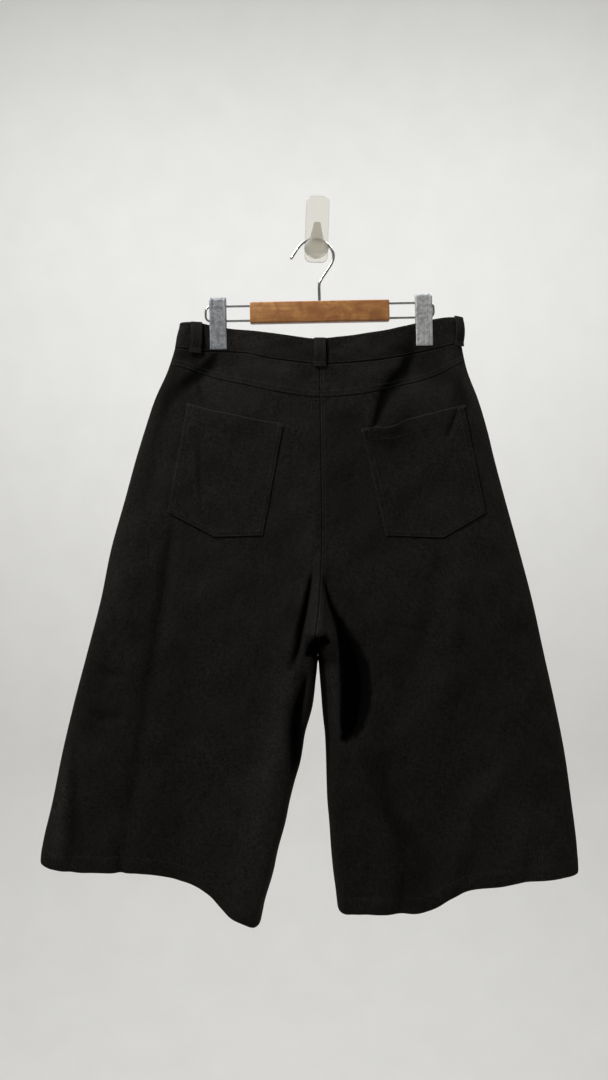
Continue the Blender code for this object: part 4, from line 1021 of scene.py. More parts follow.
def on_pocket(half, s, t):
    """Points of a pocket's outer face, their directions, and how far in from its edges and mouth."""
    x, z = pocket_place(half, s, t)
    points, normal = on_cloth("back", half, x, z)
    start, end = (np.array(pocket_place(half, side, np.zeros(1))) for side in (np.zeros(1), np.ones(1)))
    width = np.hypot(*(end - start))
    top_z = pocket_place(half, s, np.zeros_like(t))[1]
    down = top_z - z
    length = top_z - pocket_place(half, s, np.ones_like(t))[1]
    from_edge = np.minimum(np.minimum(s, 1 - s) * width, length - down)
    along = s if half == "left" else 1 - s
    gape = column(MOUTHS[half], 2)(along) * smooth(1 - down / GAPE_DEPTH)
    fold = 0.35 * raised(from_edge, 10.5) + 0.45 * raised(down, MOUTH_HEM + 2)
    drawn = (0.3 * groove(from_edge - ROW_NEAR, 0.8) + 0.3 * groove(from_edge - ROW_FAR, 0.8)
             + 0.35 * groove(down - MOUTH_HEM, 0.9))
    ripple = pucker(x, down - MOUTH_HEM) * 1.1 + pucker(x + z, from_edge - ROW_FAR) * 0.8
    edge = 0.5 * (1 - smooth(np.minimum(from_edge, down) / 1.1))
    stand = PATCH_STAND + gape + fold - drawn + ripple * smooth(from_edge / 4) - edge
    return points + normal * stand[..., None], normal, from_edge, down


def pocket(half):
    across, down = POCKET_CELLS
    s = np.unique(np.concatenate([np.linspace(0, 1, across), (0.008, 0.016, 0.984, 0.992)]))
    t = np.unique(np.concatenate([np.linspace(0, 1, down), (0.004, 0.009, 0.991, 0.996)]))
    t, s = np.meshgrid(t, s, indexing="ij")
    outer, normal, from_edge, from_mouth = on_pocket(half, s, t)
    # The mouth and the side edge on the left get wear with a painted highlight, as they face the light; the
    # other edges get painted shade.
    on_left = (s if half == "left" else 1 - s) * POCKET_WIDTH
    wear = 0.4 * smooth(1 - np.minimum(on_left, from_mouth) / 1.8)
    # Painted shade along the right and bottom edges and in the pocket's creases.
    deep = smooth(1.2 - from_edge / 2.0) * (on_left > 2.5) * (from_mouth > 1.0)
    x, z = pocket_place(half, s, t)
    for name in ("right_pocket_corner", "right_pocket_dent", "left_pocket_crease"):
        deep = np.maximum(deep, smooth(pressed_by(name, x, z) / PAINTED_SHADE_FOLDS[name]))
    cloth_piece("pocket_" + half, outer, outer - normal * PATCH_CLOTH, ["back_leg_" + half],
                *cut_to(outer), wear=wear, deep=deep, tone=toned("back", x, z))


def pocket_rows(half):
    """The rows of stitches on one pocket."""
    places = []
    for inset in (ROW_NEAR, ROW_FAR):
        side, foot = inset / POCKET_WIDTH, 1 - inset / POCKET_LENGTH
        down = np.linspace(0.01, foot, 90)
        across = np.linspace(side, 1 - side, 90)
        places += [(np.full(90, side), down), (across, np.full(90, foot)), (np.full(90, 1 - side), down)]
    places.append((np.linspace(0.012, 0.988, 100), np.full(100, MOUTH_HEM / POCKET_SIDE)))
    for side in (0.03, 0.97):
        places += [(side + np.linspace(-0.03, 0.03, 8), np.full(8, 0.012 + step * 0.004))
                   for step in range(5)]
    return [on_pocket(half, s, t)[:2] for s, t in places]


def fly_place(s, t):
    """x and z on the fly's flap: s out from the seam, t from its top down."""
    top = float(BAND_SEAM(CROTCH_X)) - FRONT_DIP - FLY_INSET
    start = float(MIDDLE(top)) + FLY_INSET
    down = t * (FLY_LENGTH - 0.6)
    into_round = np.clip(down - (FLY_LENGTH - FLY_WIDTH), 0, FLY_WIDTH)
    width = np.sqrt(np.clip(FLY_WIDTH ** 2 - into_round ** 2, 1.0, None))
    return start + s * width, top - down


def on_fly(s, t):
    x, z = fly_place(s, t)
    points, normal = on_cloth("front", "right", x, z)
    start, edge_x = (fly_place(side, t)[0] for side in (np.zeros_like(s), np.ones_like(s)))
    from_edge = np.minimum(x - start, edge_x - x)
    drawn = 0.25 * (groove(edge_x - x - ROW_NEAR, 0.9) + groove(edge_x - x - ROW_FAR, 0.9))
    stand = PATCH_STAND - drawn - 0.45 * (1 - smooth(from_edge / 1.2))
    return points + normal * stand[..., None], normal


def fly():
    across, down = FLY_CELLS
    t, s = np.meshgrid(np.linspace(0, 1, down) ** 0.9, np.linspace(0, 1, across), indexing="ij")
    outer, normal = on_fly(s, t)
    cloth_piece("fly", outer, outer - normal * PATCH_CLOTH, ["front_leg_right"],
                *cut_to(outer, (FLY_WIDTH * MM, FLY_LENGTH * MM)))


def fly_rows():
    rows = []
    for inset in (ROW_NEAR, ROW_FAR):
        t = np.linspace(0.01, 1 - inset / FLY_LENGTH - 0.02, 120)
        start, edge = (fly_place(side, t)[0] for side in (np.zeros_like(t), np.ones_like(t)))
        rows.append(on_fly(1 - inset / np.maximum(edge - start, inset + 0.5), t))
    return rows


# ---- Waistband, belt loops and button ------------------------------------------------------------
def band_line(v, face):
    """A line round the waistband, v from its top edge to its seam, as a function of x."""
    return lambda x: TOP(x) * (1 - v) + BAND_SEAM(x) * v - dip(face, x)


def band_ring(rows, count=None):
    """The waistband's points and directions, from the front middle round by the left side."""
    sheets = []
    for v in rows:
        stretches = []
        for face, half, forward in (("front", "left", False), ("back", "left", True),
                                    ("back", "right", False), ("front", "right", True)):
            part = np.stack(skin(face, half, [band_line(v, face)], steps_across(face, count)))[:, 0]
            if not forward:
                part = part[:, ::-1]
            stretches.append(part[:, 1:] if stretches else part)
        sheets.append(np.concatenate(stretches, axis=1))
    return np.stack(sheets, axis=1)


def band_skin():
    """The middle of the waistband, with its lapped end; rows run from its top edge to its seam."""
    rows = np.linspace(0, 1, BAND_ROWS + 1)
    rows = np.unique(np.concatenate([rows, (0.02, 0.045, 0.955, 0.98)]))
    points, normal = band_ring(rows)
    middle = points.shape[1] - 1
    lap_points = []
    for i, v in enumerate(rows):
        x = points[i, -1, 0] - np.linspace(LAP / LAP_COLUMNS, LAP, LAP_COLUMNS)
        z = band_line(v, "front")(x)
        lap_points.append(np.stack([x, depth("front", "left", x, z), z], axis=-1))
    points = np.concatenate([points, lap_points], axis=1)
    normal = np.concatenate([normal, np.tile((0.0, 1.0, 0.0), (len(rows), LAP_COLUMNS, 1))], axis=1)
    # The outer end steps over the inner one.
    outer_end = slice(middle - COLUMNS["front"] + 1, None)
    to_middle = points[:, outer_end, 0] - points[:, middle, 0][:, None]
    points[:, outer_end, 1] += (BAND_CLOTH + LIFT) * smooth(1 - (to_middle - 1) / LAP_TURN)
    points[:, 0, 0] -= SEAM
    return rows, points, normal, middle


def waistband(rows, points, normal):
    points = points.copy()
    points[-1, :, 2] += SEAM / 2
    v = rows[:, None]
    from_top, from_seam = v * BAND_HEIGHT, (1 - v) * BAND_HEIGHT
    along = arc_lengths(points, 1)
    full = 0.35 * np.sin(np.pi * np.clip(v, 0, 1)) ** 0.8
    drawn = 0.3 * groove(from_seam - ROW_NEAR, 0.9) + 0.25 * groove(from_top - ROW_NEAR, 0.9)
    ripple = pucker(along, from_seam - ROW_NEAR) * 0.9 + pucker(along + 3, from_top - ROW_NEAR) * 0.5
    edge = 0.55 * (1 - smooth(np.minimum(from_top, from_seam * 1.4) / 1.6))
    in_jaws = sum(smooth((PINCH_FLAT + 6 - np.abs(points[..., 0] - jaw_x)) / 6) for jaw_x, _ in JAWS)
    uneven = HANDLING["band"](along, from_top + 0 * along)
    lift = (full - drawn + ripple + uneven) * (1 - in_jaws) - edge
    half_wall = normal * BAND_CLOTH / 2
    # Painted shade along the band's seam.
    deep = np.broadcast_to(smooth(1 - from_seam / SEAM_PAINTED_SHADE), along.shape)
    # A painted shadow on the band beside each loop, where the loop stands off it.
    back_middle = along[:, np.abs(points[len(rows) // 2, :, 0] - CROTCH_X).argmin()][:, None]
    for place in LOOPS.values():
        beside = along - back_middle - place
        deep = np.maximum(deep, LOOP_PAINTED_SHADOW * smooth((beside - 4) / 3) * smooth((15 - beside) / 5))
    # The band is one strip cut on the warp, folded double along its top edge.
    # Wear with a painted highlight along the top fold, and painted light and shade on the back.
    cloth_piece("waistband", points + half_wall + normal * lift[..., None], points - half_wall,
                ["clip_left_front_jaw", "clip_right_front_jaw"],
                (along[:, -1].max() * MM, BAND_HEIGHT * MM * BAND_EASE),
                wear=np.broadcast_to(0.35 * smooth(1 - from_top / 1.6), along.shape), deep=deep,
                tone=toned("back", points[..., 0], points[..., 2]) * (normal[..., 1] < 0))


def across_band(rows, along, places):
    """Vectors of each row of the waistband, read at these distances along it."""
    return np.stack([[np.interp(places, along, row[:, axis]) for axis in range(3)]
                     for row in rows]).transpose(0, 2, 1)


def belt_loops():
    """Folded strips that stand off the waistband between their sewn ends; returns their stitch rows."""
    heights = np.linspace(0, 1, LOOP_ROWS + 1)
    spread = np.linspace(-1, 1, LOOP_COLUMNS + 1)
    points, normal = band_ring(heights, FINE_COLUMNS)
    along = arc_lengths(points, 1)[len(heights) // 2]
    stand = BAND_CLOTH / 2 + LIFT + LOOP_CLOTH / 2 + LOOP_STAND * np.sin(math.pi * heights) ** 0.6
    # Folded ends are thicker, and the strip thins towards its two folded edges.
    end = smooth(1 - np.minimum(heights, 1 - heights) / 0.14)[:, None]
    thin = 0.6 * np.abs(spread[None, :]) ** 8
    swell_out = LOOP_CLOTH / 2 + 0.5 * end - thin + 0.25 * (1 - spread[None, :] ** 2)
    # Wear with a painted highlight along the folded edges and ends.
    wear = 0.5 * np.maximum(smooth((np.abs(spread) - 0.82) / 0.18)[None, :], end * 0.4)
    stitch_rows = []
    for name, place in LOOPS.items():
        places = along[2 * FINE_COLUMNS] + place + spread * LOOP_WIDTH / 2
        out = across_band(normal, along, places)
        out[:] = out.mean(axis=(0, 1))
        out /= np.linalg.norm(out, axis=-1, keepdims=True)
        # The folded strip is too stiff to bend across, and hangs nearly upright.
        strip = across_band(points, along, places)
        centre = strip[:, LOOP_COLUMNS // 2].copy()
        centre[:, 0] += (centre[len(heights) // 2, 0] - centre[:, 0]) * LOOP_UPRIGHT
        level = np.cross(out[0, 0], (0.0, 0.0, 1.0))
        level *= np.sign(level @ (strip[0, -1] - strip[0, 0])) / np.linalg.norm(level)
        strip = centre[:, None] + level * (spread * LOOP_WIDTH / 2)[None, :, None]
        strip += out * stand[:, None, None]
        strip[-1] += out[-1] * LOOP_END_STAND
        strip[-1, :, 2] -= LOOP_REACH
        strip[0, :, 2] += LOOP_TOP_REACH
        outer = strip + out * swell_out[..., None]
        inner = strip - out * (LOOP_CLOTH / 2 - thin * 0.5)[..., None]
        cloth_piece(name, outer, inner, ["waistband"], (LOOP_WIDTH * MM, LOOP_LENGTH * MM),
                    held="stretched", wear=wear)
        for edge in (3, LOOP_COLUMNS - 3):
            stitch_rows.append((outer[1:-1, edge], out[1:-1, edge]))
        for bar in (1, LOOP_ROWS - 1):
            for step in (-0.6, 0.0, 0.6):
                stitch_rows.append((outer[bar, 1:-1] + (0, 0, step), out[bar, 1:-1]))
    return stitch_rows


def waist_button(place):
    """A moulded button with four holes; returns the crossed rows of thread that hold it."""
    angles = math.tau * np.arange(BUTTON_SIDES) / BUTTON_SIDES
    points = [(radius * math.cos(angle), height, radius * math.sin(angle))
              for radius, height in BUTTON_PROFILE for angle in angles]
    button = solid("waist_button_moulded", points, ring_faces(len(BUTTON_PROFILE), BUTTON_SIDES),
                   moulded_button(), 40)
    cleaned(button.data, 0.02)
    drill = bmesh.new()
    for across in (-HOLE_PLACE, HOLE_PLACE):
        for up in (-HOLE_PLACE, HOLE_PLACE):
            bmesh.ops.create_cone(drill, cap_ends=True, segments=14, radius1=HOLE_RADIUS * MM,
                                  radius2=HOLE_RADIUS * MM, depth=8 * MM,
                                  matrix=Matrix.Translation((across * MM, 0, up * MM))
                                  @ Matrix.Rotation(math.radians(90), 4, "X"))
    button = made_plain(button, combined(button, "button_holes", drill, "DIFFERENCE"))
    y = place[1] + BAND_CLOTH / 2 + BUTTON_STAND
    button.data.transform(Matrix.Translation(Vector((place[0], y, place[2])) * MM))
    button.data.set_sharp_from_angle(angle=math.radians(40))
    declare(button, "waist_button")
    step = np.linspace(-HOLE_PLACE, HOLE_PLACE, 5)
    return [(np.stack([place[0] + step, np.full(5, y + 2.0), place[2] + rise * step], axis=-1),
             np.tile((0.0, 1.0, 0.0), (5, 1))) for rise in (1, -1)]


# ---- Stitches ------------------------------------------------------------------------------------
def stitch_tree():
    """Geometry Nodes: sews a row of stitches along every line of a mesh, turned to its "out" vectors."""
    tree = bpy.data.node_groups.new("topstitching", "GeometryNodeTree")
    tree.is_modifier = True
    add = functools.partial(node, tree)
    sockets = {}
    for label, kind in (("Lines", "Geometry"), ("Pitch", "Float"), ("Length", "Float"),
                        ("Width", "Float"), ("Proud", "Float"), ("Seed", "Int"), ("Thread", "Material")):
        made = tree.interface.new_socket(label, in_out="INPUT", socket_type="NodeSocket" + kind)
        sockets[label] = made.identifier
    tree.interface.new_socket("Stitches", in_out="OUTPUT", socket_type="NodeSocketGeometry")
    given = add("NodeGroupInput").outputs
    lines_sewn = add("GeometryNodeMeshToCurve", Mesh=given["Lines"])
    spaced = add("GeometryNodeResampleCurve", Curve=lines_sewn, Length=given["Pitch"], mode="LENGTH")
    one = add("GeometryNodeMeshUVSphere", Segments=6, Rings=4, Radius=0.5)
    size = add("CombineXYZ", X=given["Length"], Y=given["Width"], Z=given["Proud"])
    shaped = add("GeometryNodeTransform", Geometry=one, Scale=size)
    out = add("GeometryNodeInputNamedAttribute", Name="out", data_type="FLOAT_VECTOR")
    level = add("FunctionNodeAlignRotationToVector", Vector=add("GeometryNodeInputTangent"), axis="X")
    upright = add("FunctionNodeAlignRotationToVector", Rotation=level, Vector=out, axis="Z",
                  pivot_axis="X")
    askew = add("FunctionNodeRandomValue", Min=(0.0, 0.0, -0.05), Max=(0.0, 0.0, 0.05),
                Seed=given["Seed"], data_type="FLOAT_VECTOR")
    turned = add("FunctionNodeRotateRotation", Rotation=upright, Rotate_By=askew,
                 rotation_space="LOCAL")
    sewn = add("GeometryNodeInstanceOnPoints", Points=spaced, Instance=shaped, Rotation=turned)
    real = add("GeometryNodeRealizeInstances", Geometry=sewn)
    rounded = add("GeometryNodeSetShadeSmooth", Geometry=real)
    add("NodeGroupOutput", [add("GeometryNodeSetMaterial", Geometry=rounded, Material=given["Thread"])])
    return tree, sockets


def sew(name, rows, tree, sockets, seed):
    """One piece of stitches along rows of surface points and directions."""
    points, out, edges = [], [], []
    for row_points, row_out in rows:
        first = sum(len(row) for row in points)
        points.append(row_points + row_out * STITCH_PROUD * 0.25)
        out.append(row_out)
        edges += [(first + i, first + i + 1) for i in range(len(row_points) - 1)]
    mesh = bpy.data.meshes.new(name)
    mesh.from_pydata((np.concatenate(points) * MM).tolist(), edges, [])
    layer = mesh.attributes.new("out", "FLOAT_VECTOR", "POINT")
    layer.data.foreach_set("vector", np.concatenate(out).ravel())
    thing = placed(name, mesh)
    sewing = thing.modifiers.new("Sewing", "NODES")
    sewing.node_group = tree
    values = {"Pitch": STITCH_PITCH * MM, "Length": STITCH_LENGTH * MM, "Width": STITCH_WIDTH * MM,
              "Proud": STITCH_PROUD * MM, "Seed": seed, "Thread": thread()}
    for label, value in values.items():
        sewing[sockets[label]] = value
    thing = made_plain(thing)
    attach(thing, "root")


def on_panel(face, half, x, z):
    """A row of stitches on a panel's outer face."""
    points, normal = on_cloth(face, half, x, z)
    return points + normal * CLOTH / 2, normal


def across_panel(face, half, line):
    """A row along a line across a panel, from its side fold to the middle."""
    side = meet(SIDE[half], line, OUT[half] * 190.0)[0] - OUT[half] * 4.0
    x = np.linspace(side, float(inner_edge(half, line(np.array([CROTCH_X])))[0]), 160)
    return on_panel(face, half, x, line(x))


def hem_row(face, half):
    line = level_line("hem_fold", face, half)
    side = meet(SIDE[half], line, OUT[half] * 340.0)[0] - OUT[half] * 1.5
    inner = meet(INNER[half], line, OUT[half] * 60.0)[0] + OUT[half] * 1.5
    x = np.linspace(side, inner, 200)
    return on_panel(face, half, x, line(x))


def panel_rows():
    """Topstitching of the seams on the panels, by zone."""
    zones = {"yoke": [], "rise": [], "hem": [], "waist": []}
    for half in ("left", "right"):
        for inset in (ROW_NEAR, ROW_FAR):
            zones["yoke"].append(across_panel("back", half, lambda x, d=inset: YOKE_SEAM(x) + d))
        for face in ("back", "front"):
            zones["waist"].append(across_panel(
                face, half, lambda x, f=face: BAND_SEAM(x) - dip(f, x) - ROW_NEAR))
            zones["hem"].append(hem_row(face, half))
    for face in ("back", "front"):
        top = float(BAND_SEAM(CROTCH_X)) - (FRONT_DIP if face == "front" else 0.0)
        z = np.linspace(top - 2, CROTCH_Z + 6, 260)
        zones["rise"] += [on_panel(face, "right", MIDDLE(z) + inset, z) for inset in RISE_ROWS]
    # A small box of stitches below the yoke, where the back seam's layers end.
    left, right, low, high = BOX_TACK
    for x, z in (((left, left), (low, high)), ((left, right), (low, low)), ((left, right), (high, high))):
        zones["rise"].append(on_panel("back", "left", np.linspace(*x, 12), np.linspace(*z, 12)))
    return zones


def band_rows(rows, points, normal):
    """The rows of stitches along the waistband's two edges."""
    out = normal[len(rows) // 2]
    result = []
    for v in (ROW_NEAR / BAND_HEIGHT, 1 - ROW_NEAR / BAND_HEIGHT):
        line = np.array([[np.interp(v, rows, points[:, j, axis]) for axis in range(3)]
                         for j in range(points.shape[1])])
        result.append((line + out * (BAND_CLOTH / 2 + 0.1), out))
    return result


def stitches(band, loops, button):
    tree, sockets = stitch_tree()
    zones = panel_rows() | {"band": band, "loops": loops, "fly": fly_rows(), "button": button}
    for half in ("left", "right"):
        zones["pocket_" + half] = pocket_rows(half)
    for seed, (zone, rows) in enumerate(zones.items()):
        sew("stitches_" + zone, rows, tree, sockets, seed)


# ---- Hanger --------------------------------------------------------------------------------------
def on_hanger():
    """Where the hanger's own upright frame lies."""
    return Matrix.Translation(Vector(HOOK_TOP) * MM) @ Matrix.Rotation(-HANGER_LEAN, 4, "Y")


def smooth_route(points, per_span):
    """Points along a smooth curve through a route's own points."""
    points = np.array(points, float)
    ends = np.vstack([2 * points[0] - points[1], points, 2 * points[-1] - points[-2]])
    route = []
    for before, start, end, after in zip(ends, ends[1:], ends[2:], ends[3:]):
        for f in np.arange(per_span) / per_span:
            route.append(0.5 * (2 * start + (end - before) * f
                                + (2 * before - 5 * start + 4 * end - after) * f ** 2
                                + (3 * start - before - 3 * end + after) * f ** 3))
    return route + [points[-1]]


def arc(centre, radius, start, end, step):
    """Points round part of a circle, angles in degrees from +X."""
    steps = abs(end - start) // step
    angles = [math.radians(start + (end - start) * i / steps) for i in range(steps + 1)]
    return [(centre[0] + radius * math.cos(angle), centre[1] + radius * math.sin(angle))
            for angle in angles]


def round_wire(name, route, radius, round_tip=False):
    """A round steel wire along points x, z of the hanger's frame; its last tip may be rounded over."""
    route = np.array([(x, 0, z) for x, z in route], float)
    radii = np.ones(len(route))
    if round_tip:
        inward = route[-2] - route[-1]
        inward /= np.linalg.norm(inward)
        angles = np.radians((24, 46, 66, 84))
        caps = route[-1] + inward * radius * (1 - np.sin(angles))[:, None]
        route = np.vstack([route[:-1], caps])
        radii = np.concatenate([radii[:-1], np.cos(angles)])
    data = bpy.data.curves.new(name + "_wire", "CURVE")
    data.dimensions = "3D"
    data.bevel_depth = radius * MM
    data.bevel_resolution = 5
    data.use_fill_caps = True
    spline = data.splines.new("POLY")
    spline.points.add(len(route) - 1)
    for point, place, size in zip(spline.points, route, radii):
        point.co = (*(Vector(place) * MM), 1)
        point.radius = float(size)
    wire = made_plain(placed(name + "_wire", data))
    cleaned(wire.data, 0.01)
    wire.data.transform(on_hanger())
    dressed(wire.data, plated_steel(), 50)
    declare(wire, name)


def rounded_block(size, place, rounding, segments):
    """A block with rounded edges, as a bmesh in the hanger's frame."""
    bm = bmesh.new()
    bmesh.ops.create_cube(bm, size=1, matrix=Matrix.Translation(Vector(place) * MM)
                          @ Matrix.Diagonal(Vector(size) * MM).to_4x4())
    bmesh.ops.bevel(bm, geom=bm.edges, offset=rounding * MM, segments=segments, profile=0.5,
                    affect="EDGES")
    return bm


def block_piece(name, bm, finish, node_name):
    bmesh.ops.recalc_face_normals(bm, faces=bm.faces)
    mesh = meshed(name, bm)
    mesh.transform(on_hanger())
    declare(placed(name, dressed(mesh, finish, 35)), node_name)


def hanger():
    bar_x, bar_z = BAR_CENTRE
    bar = rounded_block(BAR_SIZE, (bar_x, 0, bar_z), BAR_ROUNDING, 5)
    block_piece("hanger_bar_varnished", bar, varnished_beech(), "hanger_bar")
    bar_top = HOOK_ROUTE[0][0], bar_z + BAR_SIZE[2] / 2 + SEAM
    round_wire("hanger_hook", [bar_top] + smooth_route(HOOK_ROUTE, 10), HOOK_WIRE_RADIUS, round_tip=True)
    for side, place in CLIP_PLACES.items():
        rail(side)
        clip(side, bar_x + place)


def rail(side):
    """A wire bent square into a U, both ends in the end of the bar."""
    near = BAR_SIZE[0] / 2 + SEAM
    corner = RAIL_REACH - RAIL_BEND, RAIL_SPACING / 2 - RAIL_BEND
    upper = [(near, RAIL_SPACING / 2)] + arc(corner, RAIL_BEND, 90, 0, step=6)
    route = upper + [(x, -z) for x, z in reversed(upper)]
    round_wire("rail_" + side, [(BAR_CENTRE[0] + OUT[side] * x, BAR_CENTRE[1] + z) for x, z in route],
               RAIL_RADIUS)


def jaw_stand(across, up):
    """How far the sheet of a jaw stands out from flat: its pressed side beads and bent top lip."""
    bead = BEAD * groove(CLIP_WIDTH / 2 - np.abs(across) - BEAD_INSET, BEAD_WIDTH)
    over_top = np.clip(up - (CLIP_TOP - LIP), 0, None) / LIP
    near_foot = np.clip(CLIP_BOTTOM + FOOT - up, 0, None) / FOOT
    return bead * (1 - over_top) - LIP_BEND * over_top ** 2 - FOOT_BEND * near_foot ** 2


def clip(side, x):
    """Two pressed sheet jaws with a coiled spring on a pin between them, on the rails."""
    jaw_y = PINCH_HALF + BAND_CLOTH / 2 + LIFT + CLIP_PLATE / 2
    columns = np.concatenate([[-0.5], np.linspace(-0.485, 0.485, 31), [0.5]]) * CLIP_WIDTH
    heights = [CLIP_BOTTOM, *np.linspace(CLIP_BOTTOM + 0.5, CLIP_TOP - 0.4, 44), CLIP_TOP]
    up, across = np.meshgrid(heights, columns, indexing="ij")
    half = np.full(up.shape, CLIP_PLATE / 2)
    half[:, (0, -1)] -= CLIP_EDGE
    half[(0, -1), :] -= CLIP_EDGE
    for label, sign in (("front", -1), ("back", 1)):
        outer, inner = (np.stack([x + across, sign * (jaw_y + jaw_stand(across, up) + way * half), up],
                                 axis=-1) for way in (1, -1))
        name = "clip_%s_%s_jaw" % (side, label)
        jaw = wall(name + "_sheet", outer, inner, galvanised_sheet(side))
        jaw.data.transform(on_hanger())
        declare(jaw, name)
    spring(side, x, 2 * (jaw_y - CLIP_PLATE / 2 - LIFT))


def spring(side, x, room):
    """A coil on a pin between two folded ears, which ride on the rails."""
    rail_z = BAR_CENTRE[1]
    bm = bmesh.new()
    coil_radius = room / 2 - COIL_WIRE - 0.05
    steps = COIL_TURNS * COIL_STEPS
    rings = []
    for step in range(steps + 1):
        angle = math.tau * step / COIL_STEPS
        along = (step / steps - 0.5) * (SPRING_WIDTH - COIL_ROOM)
        out = Vector((0, math.cos(angle), math.sin(angle)))
        centre = Vector((x + along, 0, rail_z)) + coil_radius * out
        rings.append([bm.verts.new((centre + COIL_WIRE * (out * math.cos(turn)
                                                          + Vector((math.sin(turn), 0, 0)))) * MM)
                      for turn in math.tau * np.arange(8) / 8])
    for first, second in zip(rings, rings[1:]):
        for k in range(8):
            bm.faces.new((first[k], first[(k + 1) % 8], second[(k + 1) % 8], second[k]))
    bm.faces.new(rings[0])
    bm.faces.new(rings[-1])
    bmesh.ops.create_cone(bm, cap_ends=True, segments=20, radius1=PIN_RADIUS * MM,
                          radius2=PIN_RADIUS * MM, depth=(SPRING_WIDTH - PIN_ROOM) * MM,
                          matrix=Matrix.Translation(Vector((x, 0, rail_z)) * MM)
                          @ Matrix.Rotation(math.radians(90), 4, "Y"))
    ear_size = EAR_PLATE, room, RAIL_SPACING - 2 * RAIL_RADIUS - 2 * LIFT
    for edge in (-1, 1):
        place = x + edge * (SPRING_WIDTH - EAR_PLATE) / 2, 0, rail_z
        ear = meshed("ear", rounded_block(ear_size, place, EAR_ROUNDING, 2))
        bm.from_mesh(ear)
        bpy.data.meshes.remove(ear)
    block_piece("clip_%s_spring_and_ears" % side, bm, plated_steel(), "clip_%s_spring" % side)


# ---- Wall hook -----------------------------------------------------------------------------------
def on_wall_hook():
    return Matrix.Rotation(-WALL_HOOK_LEAN, 4, "Y")


def rounded_outline(half_width, half_height, radius, step):
    corner_x, corner_z = half_width - radius, half_height - radius
    corners = (corner_x, corner_z), (-corner_x, corner_z), (-corner_x, -corner_z), (corner_x, -corner_z)
    return [point for quarter, corner in enumerate(corners)
            for point in arc(corner, radius, 90 * quarter, 90 * quarter + 90, step)]


def wall_hook():
    width, height = PLATE_SIZE
    points = [(x, y, z) for inset, y in PLATE_RINGS
              for x, z in rounded_outline(width / 2 - inset, height / 2 - inset, PLATE_ROUND - inset, 6)]
    count = len(points) // len(PLATE_RINGS)
    faces = ring_faces(len(PLATE_RINGS), count)
    faces += [range(count), range(len(points) - 1, len(points) - count - 1, -1)]
    plate = solid("wall_hook_plate_clear", points, faces, plastic("clear"), 30)
    plate.data.transform(on_wall_hook())
    declare(plate, "wall_hook_plate")
    arm()


def drawn_out(outline, way):
    """An outline drawn out into a prism, as a bmesh."""
    bm = bmesh.new()
    face = bm.faces.new([bm.verts.new([along * MM for along in place]) for place in outline])
    drawn = bmesh.ops.extrude_face_region(bm, geom=[face])
    moved = [item for item in drawn["geom"] if isinstance(item, bmesh.types.BMVert)]
    bmesh.ops.translate(bm, verts=moved, vec=[along * MM for along in way])
    bmesh.ops.recalc_face_normals(bm, faces=bm.faces)
    return bm


def arm():
    """The tapered arm and the round head that keeps the hanger's wire on it, moulded in one."""
    near, far = ARM_FRONT_DEPTHS
    side = drawn_out([(-ARM_REACH, y, z) for y, z in ARM_SIDE], (2 * ARM_REACH, 0, 0))
    half = ARM_FRONT + [(-x, z) for x, z in reversed(ARM_FRONT)]
    front = drawn_out([(x, near, z) for x, z in half], (0, far - near, 0))
    knob = bmesh.new()
    bmesh.ops.create_uvsphere(knob, u_segments=64, v_segments=32, radius=1)
    bmesh.ops.scale(knob, vec=Vector(KNOB_HALF) * MM, verts=knob.verts)
    bmesh.ops.translate(knob, vec=Vector(KNOB_CENTRE) * MM, verts=knob.verts)
    thing = placed("wall_hook_arm_clear", meshed("wall_hook_arm_clear", side))
    shapes = (combined(thing, "arm_front", front, "INTERSECT"), combined(thing, "arm_knob", knob, "UNION"))
    remesh = thing.modifiers.new("Mould", "REMESH")
    remesh.mode = "VOXEL"
    remesh.voxel_size = ARM_VOXEL * MM
    soften = thing.modifiers.new("Soften", "SMOOTH")
    soften.factor = 0.5
    soften.iterations = 10
    thing = made_plain(thing, *shapes)
    thing.data.transform(on_wall_hook())
    thing.data.shade_smooth()
    thing.data.materials.clear()
    thing.data.materials.append(plastic("frosted"))
    declare(thing, "wall_hook_arm")


# ---- Materials -----------------------------------------------------------------------------------
def linear(hex_colour):
    """An sRGB hex colour as linear red, green, blue and alpha."""
    channels = [int(hex_colour[i:i + 2], 16) / 255 for i in (1, 3, 5)]
    return tuple(c / 12.92 if c <= 0.04045 else ((c + 0.055) / 1.055) ** 2.4 for c in channels) + (1.0,)


def node(tree, kind, inputs=(), **named):
    """Adds a node, a shader node unless its kind says more, and links it.

    Inputs go by number or by name, with _ for a space. Each takes a value, an sRGB hex colour, an
    output, or a node for its first output. Names in small letters are the node's own settings.
    """
    made = tree.nodes.new(kind if "Node" in kind else "ShaderNode" + kind)
    sockets = dict(inputs if isinstance(inputs, dict) else enumerate(inputs))
    for name, value in named.items():
        if name[0].islower():
            setattr(made, name, value)
        else:
            sockets[name.replace("_", " ")] = value
    for key, value in sockets.items():
        if isinstance(value, bpy.types.Node):
            value = value.outputs[0]
        if isinstance(value, bpy.types.NodeSocket):
            tree.links.new(value, made.inputs[key])
        else:
            is_colour = isinstance(value, str) and value.startswith("#")
            made.inputs[key].default_value = linear(value) if is_colour else value
    return made


def material(name):
    """Turns a function that adds a shader's nodes into one that gives the material, made once."""
    def wrap(build):
        def give(*options):
            label = name % options
            made = bpy.data.materials.get(label)
            if made is None:
                made = bpy.data.materials.new(label)
                made.use_nodes = True
                tree = made.node_tree
                tree.nodes.clear()
                shader = build(functools.partial(node, tree), *options)
                node(tree, "OutputMaterial", Surface=shader)
            return made
        return give
    return wrap


def every(size):
    """The scale of a pattern on metre coordinates whose marks are this many millimetres across."""
    return 1 / (size * MM)


